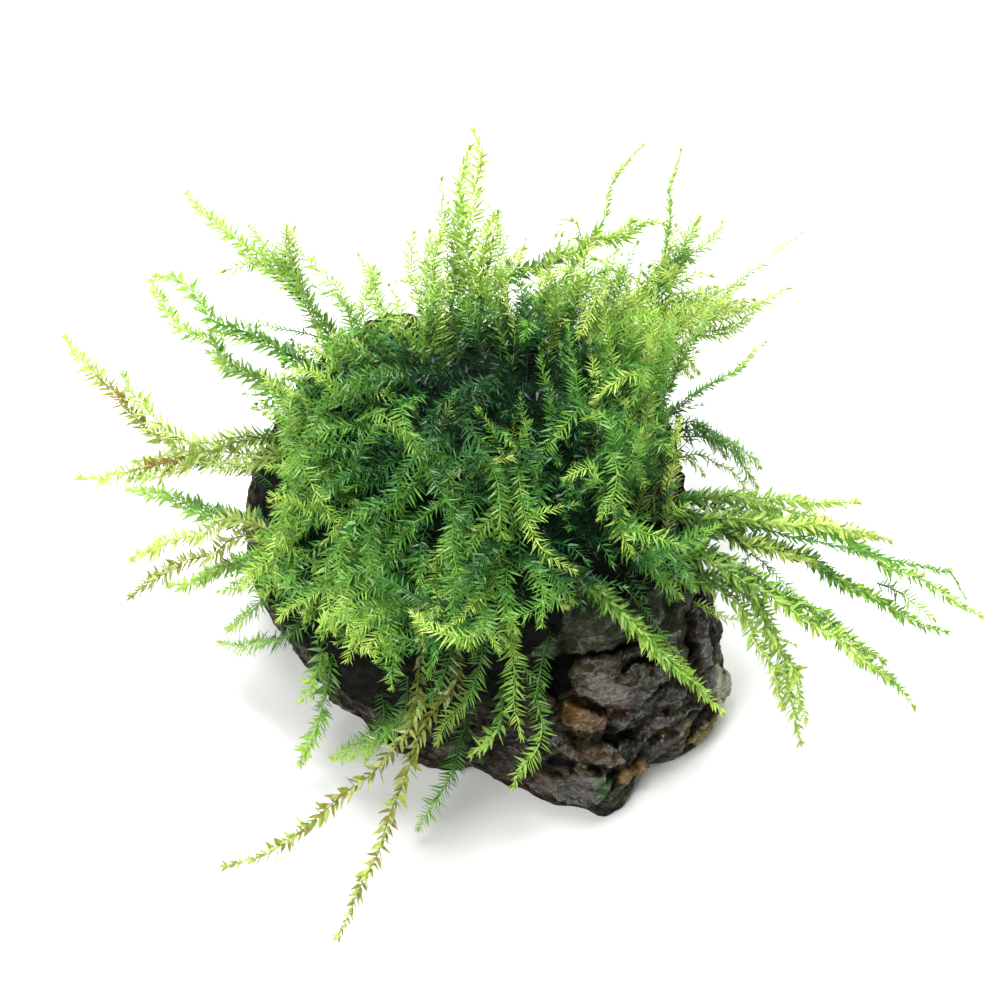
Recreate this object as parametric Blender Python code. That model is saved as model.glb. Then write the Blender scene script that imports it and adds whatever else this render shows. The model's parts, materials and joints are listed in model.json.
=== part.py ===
"""Bubble moss growing on a dark, layered stone, at its real size.

The stone stands on its flat underside at z = 0. A cushion of matted moss caps its top and hangs down
its front left side, and long leafy shoots grow out of sockets in the cushion. +X is to the right of a
person who faces the stone, +Y is away from that person and +Z is up.
"""

import math
from typing import NamedTuple

import bmesh
import bpy
from mathutils import Vector, noise

MM = 0.001
GAP = 0.3 * MM

# The stone, measured from a point inside it from which its whole surface can be seen
HEART = Vector((0.5, -2.0, 20.0)) * MM
STONE_TOP = 21.5 * MM
TOP_TILT = Vector((0.05, -0.06, 1.0)).normalized()
SHOULDER = 34.0 * MM
BELLY = 1.6 * MM
EDGE_SHARPNESS = 11
UNDERSIDE_EDGE = 2.6 * MM
STONE_ROUNDS = 6
STONE_KEPT_FACES = 0.30


class Side(NamedTuple):
    """How far the stone reaches at a compass bearing, at its foot and at its shoulder."""

    bearing: float
    foot_mm: float
    shoulder_mm: float


STONE_SIDES = (
    Side(0, 36, 27), Side(25, 35, 28), Side(50, 34, 30), Side(75, 33, 31), Side(100, 34, 33),
    Side(120, 36, 36), Side(145, 39, 38), Side(168, 41, 37), Side(185, 39, 36), Side(200, 36, 34),
    Side(219, 34, 31), Side(243, 33, 29), Side(262, 32, 27), Side(276, 34, 27), Side(287, 39, 28),
    Side(296, 42, 29), Side(309, 38.5, 30), Side(325, 42, 32), Side(337, 42, 31), Side(350, 39, 27),
)


class Break(NamedTuple):
    """A flat face where the stone broke: bearing and elevation of its normal, and its distance."""

    bearing: float
    elevation: float
    distance_mm: float


class Swell(NamedTuple):
    """A lump, or with a negative height a pit: where it lies, how wide it is and how high."""

    bearing: float
    elevation: float
    width_deg: float
    height_mm: float


class Scar(NamedTuple):
    """A crack or a ledge along a line from start to end: how wide and how high, or how deep below zero."""

    start_mm: tuple[float, float, float]
    end_mm: tuple[float, float, float]
    half_width_mm: float
    height_mm: float


SCARS = (
    Scar((12, -30, 31), (24, -27, 27), 1.7, -1.8),      # the crack under the upper slab
    Scar((8, -31, 28), (12, -32, 26), 2.8, -2.4),       # the dark hollow at its left end
    Scar((11, -34, 22), (24, -31, 20.5), 1.7, -1.9),    # the undercut below the tongue
    Scar((12, -35, 19.5), (18, -35, 18.5), 2.6, 1.0),   # the block under that
    Scar((10, -36, 16.0), (24, -33, 15.5), 1.6, -1.6),  # the gap below the block
    Scar((9, -36, 12.5), (15, -37, 12.0), 3.0, 0.8),    # the two lower blocks
    Scar((17, -37, 12.0), (24, -34, 12.0), 2.6, 0.7),
    Scar((8, -38, 9.5), (20, -37, 9.0), 1.4, -1.2),     # the gap under them
    Scar((24, -31, 18), (33, -22, 22), 1.5, -1.1),      # the curved layers that rise to the right
    Scar((26, -32, 13), (35, -21, 16), 1.5, -1.0),
    Scar((28, -24, 27), (34, -18, 24), 3.0, 0.8),       # the rim on the right
    Scar((35, -21, 10), (36, -19, 6), 2.6, 1.0),        # the crust at the right edge
)

BREAKS = (
    Break(330, 52, 32.0),
    Break(15, 40, 31.0),
    Break(62, 48, 32.0),
    Break(180, 46, 33.5),
    Break(232, 44, 30.0),
    Break(205, -24, 36.5),
    Break(240, -24, 37.5),
    Break(20, -26, 37.5),
    Break(95, -20, 36.5),
)
SWELLS = (
    Swell(300, 11, 9, 2.4),
    Swell(289, 12, 5, -3.4),
    Swell(298, -2, 8, -1.4),
    Swell(314, -7, 7, 1.3),
    Swell(292, -14, 9, 1.2),
)

# The stone's layers, which rise towards its right
LAYER_NORMAL = Vector((-0.45, -0.30, 0.85)).normalized()
LAYER_PITCH = 6.4 * MM
LAYER_RELIEF = 1.5 * MM
LAYER_WAVE = 2.6 * MM
LAYER_WAVE_SIZE = 19.0 * MM
CRAG_RELIEF = 0.9 * MM
CRAG_SIZE = 8.0 * MM

# Where the stone is bare its layers are broken into blocks, each set in, set out or tipped a little
BLOCK_LENGTH = 7.0 * MM
BLOCK_HEIGHT = 3.4 * MM
BLOCK_RELIEF = 1.0 * MM
BLOCK_CRACK = 0.5 * MM
BLOCK_BARE = 2.0 * MM

# The cushion of moss: how far down it comes at each bearing, as an elevation seen from HEART
CUSHION_HEM = (
    (0, 17), (25, 18), (50, 22), (75, 32), (95, 40), (115, 48), (135, 38), (155, 24), (180, 12),
    (200, 4), (220, -4), (238, -10), (255, -8), (270, 2), (283, 20), (300, 32), (316, 24), (340, 17),
)
CUSHION_THICKNESS = 7.2 * MM
CUSHION_HEM_THICKNESS = 3.0 * MM
CUSHION_HEM_DEG = 5.0
CUSHION_LUMPS = 2.2 * MM
CUSHION_LUMP_SIZE = 11.0 * MM
CUSHION_ROUNDS = 5
CUSHION_KEPT_FACES = 0.15

# A shoot is modelled as a thin leafy blade whose teeth stand for its leaves
SHOOT_WIDTH = 3.6 * MM
SHOOT_THICKNESS = 1.4 * MM
SHOOT_ROOT_DEPTH = 2.0 * MM
ROOT_CLEARANCE = 1.3 * MM
SHOOT_FACES = Vector((0.0, -0.35, 1.0)).normalized()
TOOTH_PITCH = 7.0 * MM
TOOTH_LEAN = 0.75
TEETH_LEAST = 3
TEETH_MOST = 7
WAIST = 0.6
ROOT_SHARE = 0.4


class Shoot(NamedTuple):
    """Where on the cushion a shoot grows, seen from HEART, where its tip is, and how it bows.

    Its middle is lifted by lift_mm and pushed by sway_mm to the left of the way it grows.
    """

    bearing: float
    elevation: float
    tip_mm: tuple[float, float, float]
    lift_mm: float
    sway_mm: float


SHOOTS = {
    "shoot_left_1": Shoot(212, 10, (-40, -14, 14), 3, 1),
    "shoot_left_2": Shoot(220, 24, (-41, -16, 13), 6, 2),
    "shoot_left_3": Shoot(205, 16, (-49, -8, 17), 4, 2),
    "shoot_left_4": Shoot(210, 32, (-55, -9, 16), 5, 2),
    "shoot_left_5": Shoot(204, 30, (-57, 9, 20), 2, 0),
    "shoot_left_6": Shoot(188, 30, (-54, 9, 26), 2, 2),
    "shoot_left_7": Shoot(186, 46, (-64, 8, 24), 2, 2),
    "shoot_left_8": Shoot(177, 38, (-67, 27, 36), 2, 10),
    "shoot_left_9": Shoot(163, 38, (-55, 40, 36), 2, 2),
    "shoot_left_10": Shoot(153, 42, (-54, 38, 41), 3, 3),
    "shoot_left_11": Shoot(150, 44, (-49, 50, 44), 3, 1),
    "shoot_front_1": Shoot(224, 16, (-29, -33, 5), 5, 4),
    "shoot_front_2": Shoot(243, 6, (-23, -33, 7), 4, 2),
    "shoot_front_3": Shoot(250, 16, (-19, -35, 8), 5, 2),
    "shoot_front_4": Shoot(252, 26, (-38, -49, 3), 6, 8),
    "shoot_front_5": Shoot(260, 30, (-21, -60, 3), 6, 3),
    "shoot_front_6": Shoot(262, 3, (-10, -43, 4), 3, 1),
    "shoot_front_7": Shoot(269, 36, (-7, -39, 18), 5, 2),
    "shoot_front_8": Shoot(274, 16, (-2, -38, 13), 4, 2),
    "shoot_front_9": Shoot(287, 28, (4, -42, 9), 4, 2),
    "shoot_front_10": Shoot(282, 46, (4, -39, 22), 5, -1),
    "shoot_right_1": Shoot(298, 45, (34, -32, 18), 5, -2),
    "shoot_right_2": Shoot(321, 30, (48, -28, 4), 7, 1),
    "shoot_right_3": Shoot(316, 39, (66, -22, 5), 9, 0),
    "shoot_right_4": Shoot(329, 31, (72, -11, 9), 3, 0),
    "shoot_right_5": Shoot(335, 36, (77, -10, 12), 5, 1),
    "shoot_right_6": Shoot(336, 42, (71, -17, 26), 4, -1),
    "shoot_right_7": Shoot(348, 33, (62, -3, 22), 2, -1),
    "shoot_right_8": Shoot(358, 38, (47, 3, 20), 4, -1),
    "shoot_right_9": Shoot(9, 41, (44, 26, 36), 3, 0),
    "shoot_back_1": Shoot(22, 45, (49, 36, 50), 1, -1),
    "shoot_back_2": Shoot(28, 33, (43, 33, 36), 3, -1),
    "shoot_back_3": Shoot(42, 38, (46, 36, 40), 3, 0),
    "shoot_back_4": Shoot(58, 44, (38, 43, 46), 2, 0),
    "shoot_back_5": Shoot(36, 46, (30, 44, 60), 2, -1),
    "shoot_back_6": Shoot(72, 50, (24, 45, 60), 1, -1),
    "shoot_back_7": Shoot(56, 58, (19, 36, 50), 1, 0),
    "shoot_back_8": Shoot(84, 51, (5, 33, 54), 1, 0),
    "shoot_back_9": Shoot(72, 64, (-3, 33, 64), 4, -3),
    "shoot_back_10": Shoot(94, 53, (-1, 46, 62), 1, 0),
    "shoot_back_11": Shoot(108, 58, (-2, 48, 55), 1, 0),
    "shoot_back_12": Shoot(118, 62, (-7, 40, 58), 1, 0),
    "shoot_back_13": Shoot(133, 62, (-9, 38, 52), 1, 0),
    "shoot_back_14": Shoot(140, 60, (-20, 33, 48), 1, 0),
    "shoot_back_15": Shoot(138, 48, (-31, 37, 50), 1, 0),
    "shoot_back_16": Shoot(78, 42, (14, 44, 24), 6, 0),
    "shoot_back_17": Shoot(18, 30, (44, 15, 14), 5, 0),
    "shoot_back_18": Shoot(50, 32, (34, 34, 20), 5, 0),
}


def direction(bearing, elevation):
    """Unit vector at this compass bearing and elevation, both in degrees."""
    b, e = math.radians(bearing), math.radians(elevation)
    return Vector((math.cos(e) * math.cos(b), math.cos(e) * math.sin(b), math.sin(e)))


def bearing_of(way):
    return math.degrees(math.atan2(way.y, way.x)) % 360


def elevation_of(way):
    return math.degrees(math.asin(max(-1.0, min(1.0, way.z))))


def round_table(table, bearing):
    """Value at a bearing of a table that runs once round the compass, eased between its entries."""
    for (b0, v0), (b1, v1) in zip(table, [*table[1:], (table[0][0] + 360, table[0][1])]):
        if b0 <= bearing <= b1:
            t = (bearing - b0) / (b1 - b0)
            return v0 + (v1 - v0) * t * t * (3 - 2 * t)
    return table[0][1]


def swell(way):
    """Height of the lumps and pits together in this direction."""
    total = 0.0
    for s in SWELLS:
        apart = math.degrees(way.angle(direction(s.bearing, s.elevation)))
        total += s.height_mm * math.exp(-((apart / s.width_deg) ** 2))
    return total * MM


def soft_least(*reaches):
    """The smallest of some distances, with the corners where they change over rounded off."""
    return sum(reach ** -EDGE_SHARPNESS for reach in reaches) ** (-1 / EDGE_SHARPNESS)


def stone_block(way):
    """Distance from HEART to the plain block of the stone, before its layers and crags."""
    bearing = bearing_of(way)
    foot = round_table([(side.bearing, side.foot_mm) for side in STONE_SIDES], bearing) * MM
    shoulder = round_table([(side.bearing, side.shoulder_mm) for side in STONE_SIDES], bearing) * MM
    lean = (shoulder - foot) / SHOULDER
    wall = (foot + lean * HEART.z) / max(0.02, math.hypot(way.x, way.y) - lean * way.z)
    height = (HEART.z + wall * way.z) / SHOULDER
    wall += BELLY * max(0.0, 4 * height * (1 - height))
    reaches = [wall]
    if way.z > 0.05:
        reaches.append(STONE_TOP / way.dot(TOP_TILT))
    if way.z < -0.05:
        reaches.append((HEART.z + UNDERSIDE_EDGE) / -way.z)
    for b in BREAKS:
        facing = way.dot(direction(b.bearing, b.elevation))
        if facing > 0.3:
            reaches.append(b.distance_mm * MM / facing)
    return soft_least(*reaches)


def layer_relief(point):
    """How far a layer stands out at a point: each one swells towards its top and is undercut below."""
    wave = noise.noise(point / LAYER_WAVE_SIZE) * LAYER_WAVE
    level = (point.dot(LAYER_NORMAL) + wave) / LAYER_PITCH
    part = level - math.floor(level)
    ledge = part ** 0.7 if part < 0.82 else 0.82 ** 0.7 * (1 - part) / 0.18
    return (ledge - 0.45) * LAYER_RELIEF


def block_relief(point):
    """How far the blocks that the layers are broken into stand out at a point, with a crack between two."""
    across = LAYER_NORMAL.cross(Vector((0, 0, 1))).normalized()
    along = LAYER_NORMAL.cross(across)
    place = Vector((point.dot(across) / BLOCK_LENGTH, point.dot(along) / BLOCK_LENGTH,
                    point.dot(LAYER_NORMAL) / BLOCK_HEIGHT))
    distances, seeds = noise.voronoi(place)
    chance = noise.cell_vector(seeds[0] * 5.7) * 2 - Vector((1, 1, 1))
    crack = max(0.0, 1 - (distances[1] - distances[0]) / 0.16)
    return (0.5 * chance.x + 0.6 * (place - seeds[0]).dot(chance)) * BLOCK_RELIEF - crack * BLOCK_CRACK


def scar_relief(point):
    """How far the cracks and ledges that show on the stone's front stand out at a point."""
    total = 0.0
    for scar in SCARS:
        start, end = Vector(scar.start_mm) * MM, Vector(scar.end_mm) * MM
        span = end - start
        t = max(0.0, min(1.0, (point - start).dot(span) / span.length_squared))
        apart = (point - start - span * t).length / (scar.half_width_mm * MM)
        if apart < 1:
            total += scar.height_mm * MM * (1 - apart * apart) ** 1.5
    return total


def stone_reach(way):
    """Distance from HEART to the stone's surface, whose underside is flat at z = 0."""
    point = way * stone_block(way)
    crags = noise.turbulence(point / CRAG_SIZE, 2, False) - 0.5
    reach = point.length + swell(way) + layer_relief(point) + crags * CRAG_RELIEF
    bare = min(1.0, -cushion_depth(way) / BLOCK_BARE)
    if bare > 0:
        reach += bare * (block_relief(way * reach) + scar_relief(HEART + way * reach))
    if way.z < 0:
        reach = min(reach, HEART.z / -way.z)
    return reach


def cushion_depth(way):
    """Thickness of the moss in this direction, and below zero past its hem."""
    inside = elevation_of(way) - round_table(CUSHION_HEM, bearing_of(way))
    ragged = noise.noise(way * HEART.z / (6 * MM)) * 5.0
    rise = (inside + ragged) / CUSHION_HEM_DEG
    lumps = noise.noise(way * stone_block(way) / CUSHION_LUMP_SIZE + Vector((7, 3, 1))) * CUSHION_LUMPS
    if rise < 1:
        return rise * CUSHION_HEM_THICKNESS
    grown = min(1.0, (rise - 1) / 4)
    return CUSHION_HEM_THICKNESS + (CUSHION_THICKNESS - CUSHION_HEM_THICKNESS + lumps) * grown


def cushion_reach(way):
    """Distance from HEART to the top of the moss, or to just inside the stone past the moss."""
    return stone_reach(way) + max(-2.5 * MM, cushion_depth(way))


def new_material(name, colour, roughness):
    material = bpy.data.materials.new(name)
    material.use_nodes = True
    shader = material.node_tree.nodes["Principled BSDF"]
    shader.inputs["Base Color"].default_value = (*colour, 1.0)
    shader.inputs["Roughness"].default_value = roughness
    shader.inputs["Metallic"].default_value = 0.0
    material.diffuse_color = (*colour, 1.0)
    return material


def body_round_heart(name, rounds, reach):
    """Closed mesh object whose vertices lie at reach(direction) from HEART."""
    bm = bmesh.new()
    bmesh.ops.create_icosphere(bm, subdivisions=rounds, radius=1.0)
    for vertex in bm.verts:
        way = vertex.co.normalized()
        vertex.co = HEART + way * reach(way)
    mesh = bpy.data.meshes.new(name)
    bm.to_mesh(mesh)
    bm.free()
    return bpy.data.objects.new(name, mesh)


def thin_out(obj, kept):
    """Collapses the flattest edges until this share of the faces is left, and keeps the result."""
    modifier = obj.modifiers.new("thin_out", "DECIMATE")
    modifier.ratio = kept
    graph = bpy.context.evaluated_depsgraph_get()
    thinned = bpy.data.meshes.new_from_object(obj.evaluated_get(graph))
    obj.modifiers.clear()
    old, obj.data = obj.data, thinned
    thinned.name = obj.name
    bpy.data.meshes.remove(old)


def press_flat(obj):
    """Puts every vertex within a hair of the ground exactly on it."""
    for vertex in obj.data.vertices:
        if vertex.co.z < 0.05 * MM:
            vertex.co.z = 0.0


def shoot_start(shoot):
    """Point in the cushion where the shoot's root ends."""
    way = direction(shoot.bearing, shoot.elevation)
    return HEART + way * max(cushion_reach(way) - SHOOT_ROOT_DEPTH, stone_reach(way) + ROOT_CLEARANCE)


def shoot_line(shoot, t):
    """Point on the middle line of a shoot, from its root at t = 0 to its tip at t = 1."""
    start, tip = shoot_start(shoot), Vector(shoot.tip_mm) * MM
    along = tip - start
    left = Vector((-along.y, along.x, 0.0)).normalized()
    bow = Vector((0, 0, shoot.lift_mm)) + left * shoot.sway_mm
    return start + along * t + bow * MM * 4 * t * (1 - t)


def shoot_breadth(t):
    """Width of a shoot at t as a share of its full width: slim at the root, tapered at the tip."""
    grown = ROOT_SHARE + (1 - ROOT_SHARE) * min(1.0, t / 0.3)
    return grown * min(1.0, 0.25 + (1 - t) / 0.16)


def loft(name, line, rings, end_t):
    """Closed body through four-cornered rings (t, half width, half thickness), pointed at its end."""
    bm = bmesh.new()
    loops = []
    for t, half_width, half_thickness in rings:
        ahead = (line(min(1.0, t + 0.01)) - line(max(0.0, t - 0.01))).normalized()
        across = ahead.cross(SHOOT_FACES).normalized()
        up = across.cross(ahead)
        corners = (across * half_width, up * half_thickness, -across * half_width, -up * half_thickness)
        loops.append([bm.verts.new(line(t) + corner) for corner in corners])
    point = bm.verts.new(line(end_t))
    for loop, following in zip(loops, loops[1:]):
        for i in range(4):
            bm.faces.new((loop[i], loop[i - 1], following[i - 1], following[i]))
    for i in range(4):
        bm.faces.new((loops[-1][i], loops[-1][i - 1], point))
    bm.faces.new(loops[0])
    bmesh.ops.recalc_face_normals(bm, faces=bm.faces)
    mesh = bpy.data.meshes.new(name)
    bm.to_mesh(mesh)
    bm.free()
    return bpy.data.objects.new(name, mesh)


def shoot_rings(shoot, waist, spare):
    """Rings of a shoot: each tooth starts at a waist and widens towards the tip of its leaves."""
    length = (Vector(shoot.tip_mm) * MM - shoot_start(shoot)).length
    teeth = max(TEETH_LEAST, min(TEETH_MOST, round(length / TOOTH_PITCH)))
    rings = []
    for tooth in range(teeth):
        for share, width in ((0.0, waist), (TOOTH_LEAN, 1.0)):
            t = (tooth + share) / teeth
            breadth = shoot_breadth(t)
            rings.append((t, SHOOT_WIDTH / 2 * breadth * width + spare,
                          SHOOT_THICKNESS / 2 * max(0.5, breadth) + spare))
    return rings


def build_shoot(name, shoot, parts, sockets):
    """Models one shoot, and the cutter that makes room for its root in the cushion."""
    def line(t):
        return shoot_line(shoot, t)

    body = loft(name, line, shoot_rings(shoot, WAIST, 0.0), 1.0)
    parts.objects.link(body)
    body.data.materials.append(new_material(name + "_leaves", (0.12, 0.34, 0.04), 0.55))
    socket = loft(name + "_socket", lambda t: line(t * 1.03 - 0.015), shoot_rings(shoot, 1.0, GAP), 1.0)
    cutter(socket, sockets)
    return body


def cutter(obj, collection):
    collection.objects.link(obj)
    obj.hide_render = True
    obj.display_type = "WIRE"


def build_stone(parts):
    stone = body_round_heart("stone", STONE_ROUNDS, stone_reach)
    parts.objects.link(stone)
    thin_out(stone, STONE_KEPT_FACES)
    press_flat(stone)
    stone.data.materials.append(new_material("dark_layered_rock", (0.045, 0.042, 0.040), 0.62))
    return stone


def build_cushion(parts, cutters, sockets, stone):
    cushion = body_round_heart("moss_cushion", CUSHION_ROUNDS, cushion_reach)
    parts.objects.link(cushion)
    thin_out(cushion, CUSHION_KEPT_FACES)
    seat = bpy.data.objects.new("cushion_seat", stone.data.copy())
    for vertex in seat.data.vertices:
        vertex.co += (vertex.co - HEART).normalized() * GAP * 1.4
    cutter(seat, cutters)
    cut = cushion.modifiers.new("sit_on_stone", "BOOLEAN")
    cut.operation = "DIFFERENCE"
    cut.object = seat
    bore = cushion.modifiers.new("make_sockets", "BOOLEAN")
    bore.operation = "DIFFERENCE"
    bore.operand_type = "COLLECTION"
    bore.collection = sockets
    cushion.data.materials.append(new_material("moss_cushion", (0.03, 0.12, 0.02), 0.7))
    return cushion


def main():
    for obj in list(bpy.data.objects):
        bpy.data.objects.remove(obj)
    parts = bpy.data.collections.new("bubble_moss_on_stone")
    cutters = bpy.data.collections.new("cutters")
    bpy.context.scene.collection.children.link(parts)
    bpy.context.scene.collection.children.link(cutters)
    sockets = bpy.data.collections.new("socket_cutters")
    cutters.children.link(sockets)
    stone = build_stone(parts)
    build_cushion(parts, cutters, sockets, stone)
    for name, shoot in SHOOTS.items():
        build_shoot(name, shoot, parts, sockets)


main()
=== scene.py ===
"""Bubble moss on stone: the looks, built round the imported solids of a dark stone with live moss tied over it.

The stone and the moss cushion are dressed from copies of their solids. Every long stem that the solids show
as a thin blade becomes a real stem with two ranks of leaves, and shorter stems grow over the cushion between
them.
Tables are in millimetres, in the frame of the solids.
"""

import json
import logging
import math
from dataclasses import dataclass, field
from enum import Enum

import bmesh
import bpy
import numpy as np
from mathutils import Euler, Matrix, Vector, noise
from mathutils.bvhtree import BVHTree

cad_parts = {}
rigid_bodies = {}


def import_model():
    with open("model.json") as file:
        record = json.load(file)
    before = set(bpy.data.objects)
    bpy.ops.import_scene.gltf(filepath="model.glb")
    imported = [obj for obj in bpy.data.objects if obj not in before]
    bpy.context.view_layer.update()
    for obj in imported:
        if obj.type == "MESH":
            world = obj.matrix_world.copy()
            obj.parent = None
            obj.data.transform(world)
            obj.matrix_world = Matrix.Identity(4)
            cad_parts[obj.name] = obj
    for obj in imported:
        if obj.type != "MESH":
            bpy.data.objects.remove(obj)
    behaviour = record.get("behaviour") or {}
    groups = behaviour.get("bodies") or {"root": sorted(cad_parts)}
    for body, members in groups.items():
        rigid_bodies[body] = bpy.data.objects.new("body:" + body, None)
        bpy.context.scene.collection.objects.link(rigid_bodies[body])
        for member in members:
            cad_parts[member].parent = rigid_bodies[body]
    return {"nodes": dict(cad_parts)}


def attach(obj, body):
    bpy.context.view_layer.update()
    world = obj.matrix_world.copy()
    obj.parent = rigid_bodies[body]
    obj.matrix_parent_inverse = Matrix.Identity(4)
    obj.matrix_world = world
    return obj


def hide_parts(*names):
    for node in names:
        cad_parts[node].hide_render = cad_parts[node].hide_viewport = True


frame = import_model()

LOG = logging.getLogger("bubble_moss")
MM = 0.001
BAKE_MAP = "OFBake"
FRAME_PX = 1000                         # the photograph's width and height
SENSOR_MM = 36.0
NOISE_SEED = 4                          # without it the stems differ from run to run

# places in mm, in the frame of the solids
HEART = Vector((0.5, -2.0, 20.0))       # inside the stone: bearings and elevations are taken from here
CROWN = Vector((8.0, 8.0, 47.0))        # on top: the stems spread from here
SHADE = Vector((1, 4, 46))              # the middle of the shaded hollow in front of the upright stems
TOWARDS_LIGHT = Vector((0.0, -0.35, 1.0)).normalized()

Inputs = dict[str | int, object]
Point = tuple[float, float, float]


def linear(hex_code: str) -> tuple[float, float, float, float]:
    """Turns an sRGB colour into the linear one that shaders use.

    Args:
        hex_code: the colour as #RRGGBB.

    Returns:
        Red, green and blue in linear light, and an alpha of 1.
    """
    levels = [int(hex_code[i:i + 2], 16) / 255 for i in (1, 3, 5)]
    red, green, blue = (v / 12.92 if v <= 0.04045 else ((v + 0.055) / 1.055) ** 2.4 for v in levels)
    return red, green, blue, 1.0


def add_node(tree: bpy.types.NodeTree, kind: str, settings: dict[str, object] | None = None,
             inputs: Inputs | None = None) -> bpy.types.Node:
    """Adds one node with its settings, and its input values or links.

    Args:
        tree: the shader or geometry tree.
        kind: the node's type name.
        settings: its properties by name; "stops" fills a colour ramp with (place, hex colour) pairs.
        inputs: a value, or the socket to link from, for each input by name or number.

    Returns:
        The new node.
    """
    node = tree.nodes.new(kind)
    for name, value in (settings or {}).items():
        if name == "stops":
            stops = node.color_ramp.elements
            while len(stops) < len(value):
                stops.new(1.0)
            for stop, (place, colour) in zip(stops, value):
                stop.position, stop.color = place, linear(colour)
        else:
            setattr(node, name, value)
    for key, value in (inputs or {}).items():
        if isinstance(value, bpy.types.NodeSocket):
            tree.links.new(value, node.inputs[key])
        else:
            node.inputs[key].default_value = value
    return node


def new_material(name: str) -> bpy.types.Material:
    """Starts a material with an empty node tree.

    Args:
        name: the material's name.

    Returns:
        The new material.
    """
    made = bpy.data.materials.new(name)
    made.use_nodes = True
    made.node_tree.nodes.clear()
    return made


def maths(tree: bpy.types.NodeTree, operation: str, *values: object) -> bpy.types.NodeSocket:
    """Adds a Math node.

    Args:
        tree: the tree.
        operation: what it does.
        values: a number or a socket for each of its inputs.

    Returns:
        Its result.
    """
    return add_node(tree, "ShaderNodeMath", {"operation": operation}, dict(enumerate(values))).outputs[0]


def mapped(tree: bpy.types.NodeTree, value: bpy.types.NodeSocket, start: float, end: float, low: float,
           high: float) -> bpy.types.NodeSocket:
    """Turns one range of a value into another, and holds it at the ends.

    Args:
        tree: the tree.
        value: the value.
        start: where its range starts.
        end: where its range ends.
        low: the result at the start.
        high: the result at the end.

    Returns:
        The result.
    """
    return add_node(tree, "ShaderNodeMapRange", inputs={
        "Value": value, "From Min": start, "From Max": end, "To Min": low, "To Max": high}).outputs[0]


def mixed(tree: bpy.types.NodeTree, share: object, below: object, above: object) -> bpy.types.NodeSocket:
    """Lays one colour over another.

    Args:
        tree: the tree.
        share: how much of the upper one shows.
        below: the lower colour.
        above: the upper colour.

    Returns:
        The mix.
    """
    return add_node(tree, "ShaderNodeMix", {"data_type": "RGBA"}, {
        "Factor": share, 6: below, 7: above}).outputs[2]


def smooth_step(low: float, high: float, value: np.ndarray | float) -> np.ndarray | float:
    """Rises smoothly from 0 at low to 1 at high.

    Args:
        low: where the rise starts.
        high: where it ends.
        value: one number or an array.

    Returns:
        The share risen, from 0 to 1.
    """
    t = np.clip((value - low) / (high - low), 0.0, 1.0)
    return t * t * (3 - 2 * t)


def merged_copy(node: str) -> bmesh.types.BMesh:
    """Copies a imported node, whose triangles are loose, into one joined mesh.

    Args:
        node: the node's name.

    Returns:
        A new mesh in metres with its doubles merged.
    """
    mesh = bmesh.new()
    mesh.from_mesh(frame["nodes"][node].data)
    bmesh.ops.remove_doubles(mesh, verts=mesh.verts, dist=1e-6)
    return mesh


def new_object(name: str, mesh: bpy.types.Mesh) -> bpy.types.Object:
    """Puts a mesh into the scene as an object at the origin.

    Args:
        name: the object's name, given to the mesh too.
        mesh: the mesh, with its place in its vertices.

    Returns:
        The new object.
    """
    mesh.name = name
    made = bpy.data.objects.new(name, mesh)
    bpy.context.scene.collection.objects.link(made)
    return made


def remeshed(mesh: bmesh.types.BMesh, name: str, voxel_mm: float) -> bpy.types.Mesh:
    """Rebuilds a closed mesh with even faces all over.

    Args:
        mesh: the closed mesh in metres, which is freed.
        name: the new mesh's name.
        voxel_mm: the size of its faces.

    Returns:
        The new mesh.
    """
    rough = bpy.data.meshes.new(name + "_rough")
    mesh.to_mesh(rough)
    mesh.free()
    holder = new_object(name + "_rough", rough)
    modifier = holder.modifiers.new("even", "REMESH")
    modifier.mode, modifier.voxel_size = "VOXEL", voxel_mm * MM
    made = bpy.data.meshes.new_from_object(holder.evaluated_get(bpy.context.evaluated_depsgraph_get()))
    bpy.data.objects.remove(holder)
    bpy.data.meshes.remove(rough)
    made.name = name
    return made


def coordinates(mesh: bpy.types.Mesh, what: str = "co") -> np.ndarray:
    """Reads a mesh's vertex positions or normals.

    Args:
        mesh: the mesh.
        what: "co" for positions or "normal" for normals.

    Returns:
        One row of three for each vertex.
    """
    values = np.empty(len(mesh.vertices) * 3, np.float32)
    if what == "co":
        mesh.vertices.foreach_get("co", values)
    else:
        mesh.vertex_normals.foreach_get("vector", values)
    return values.reshape(-1, 3).astype(float)


# Finishes


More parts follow.
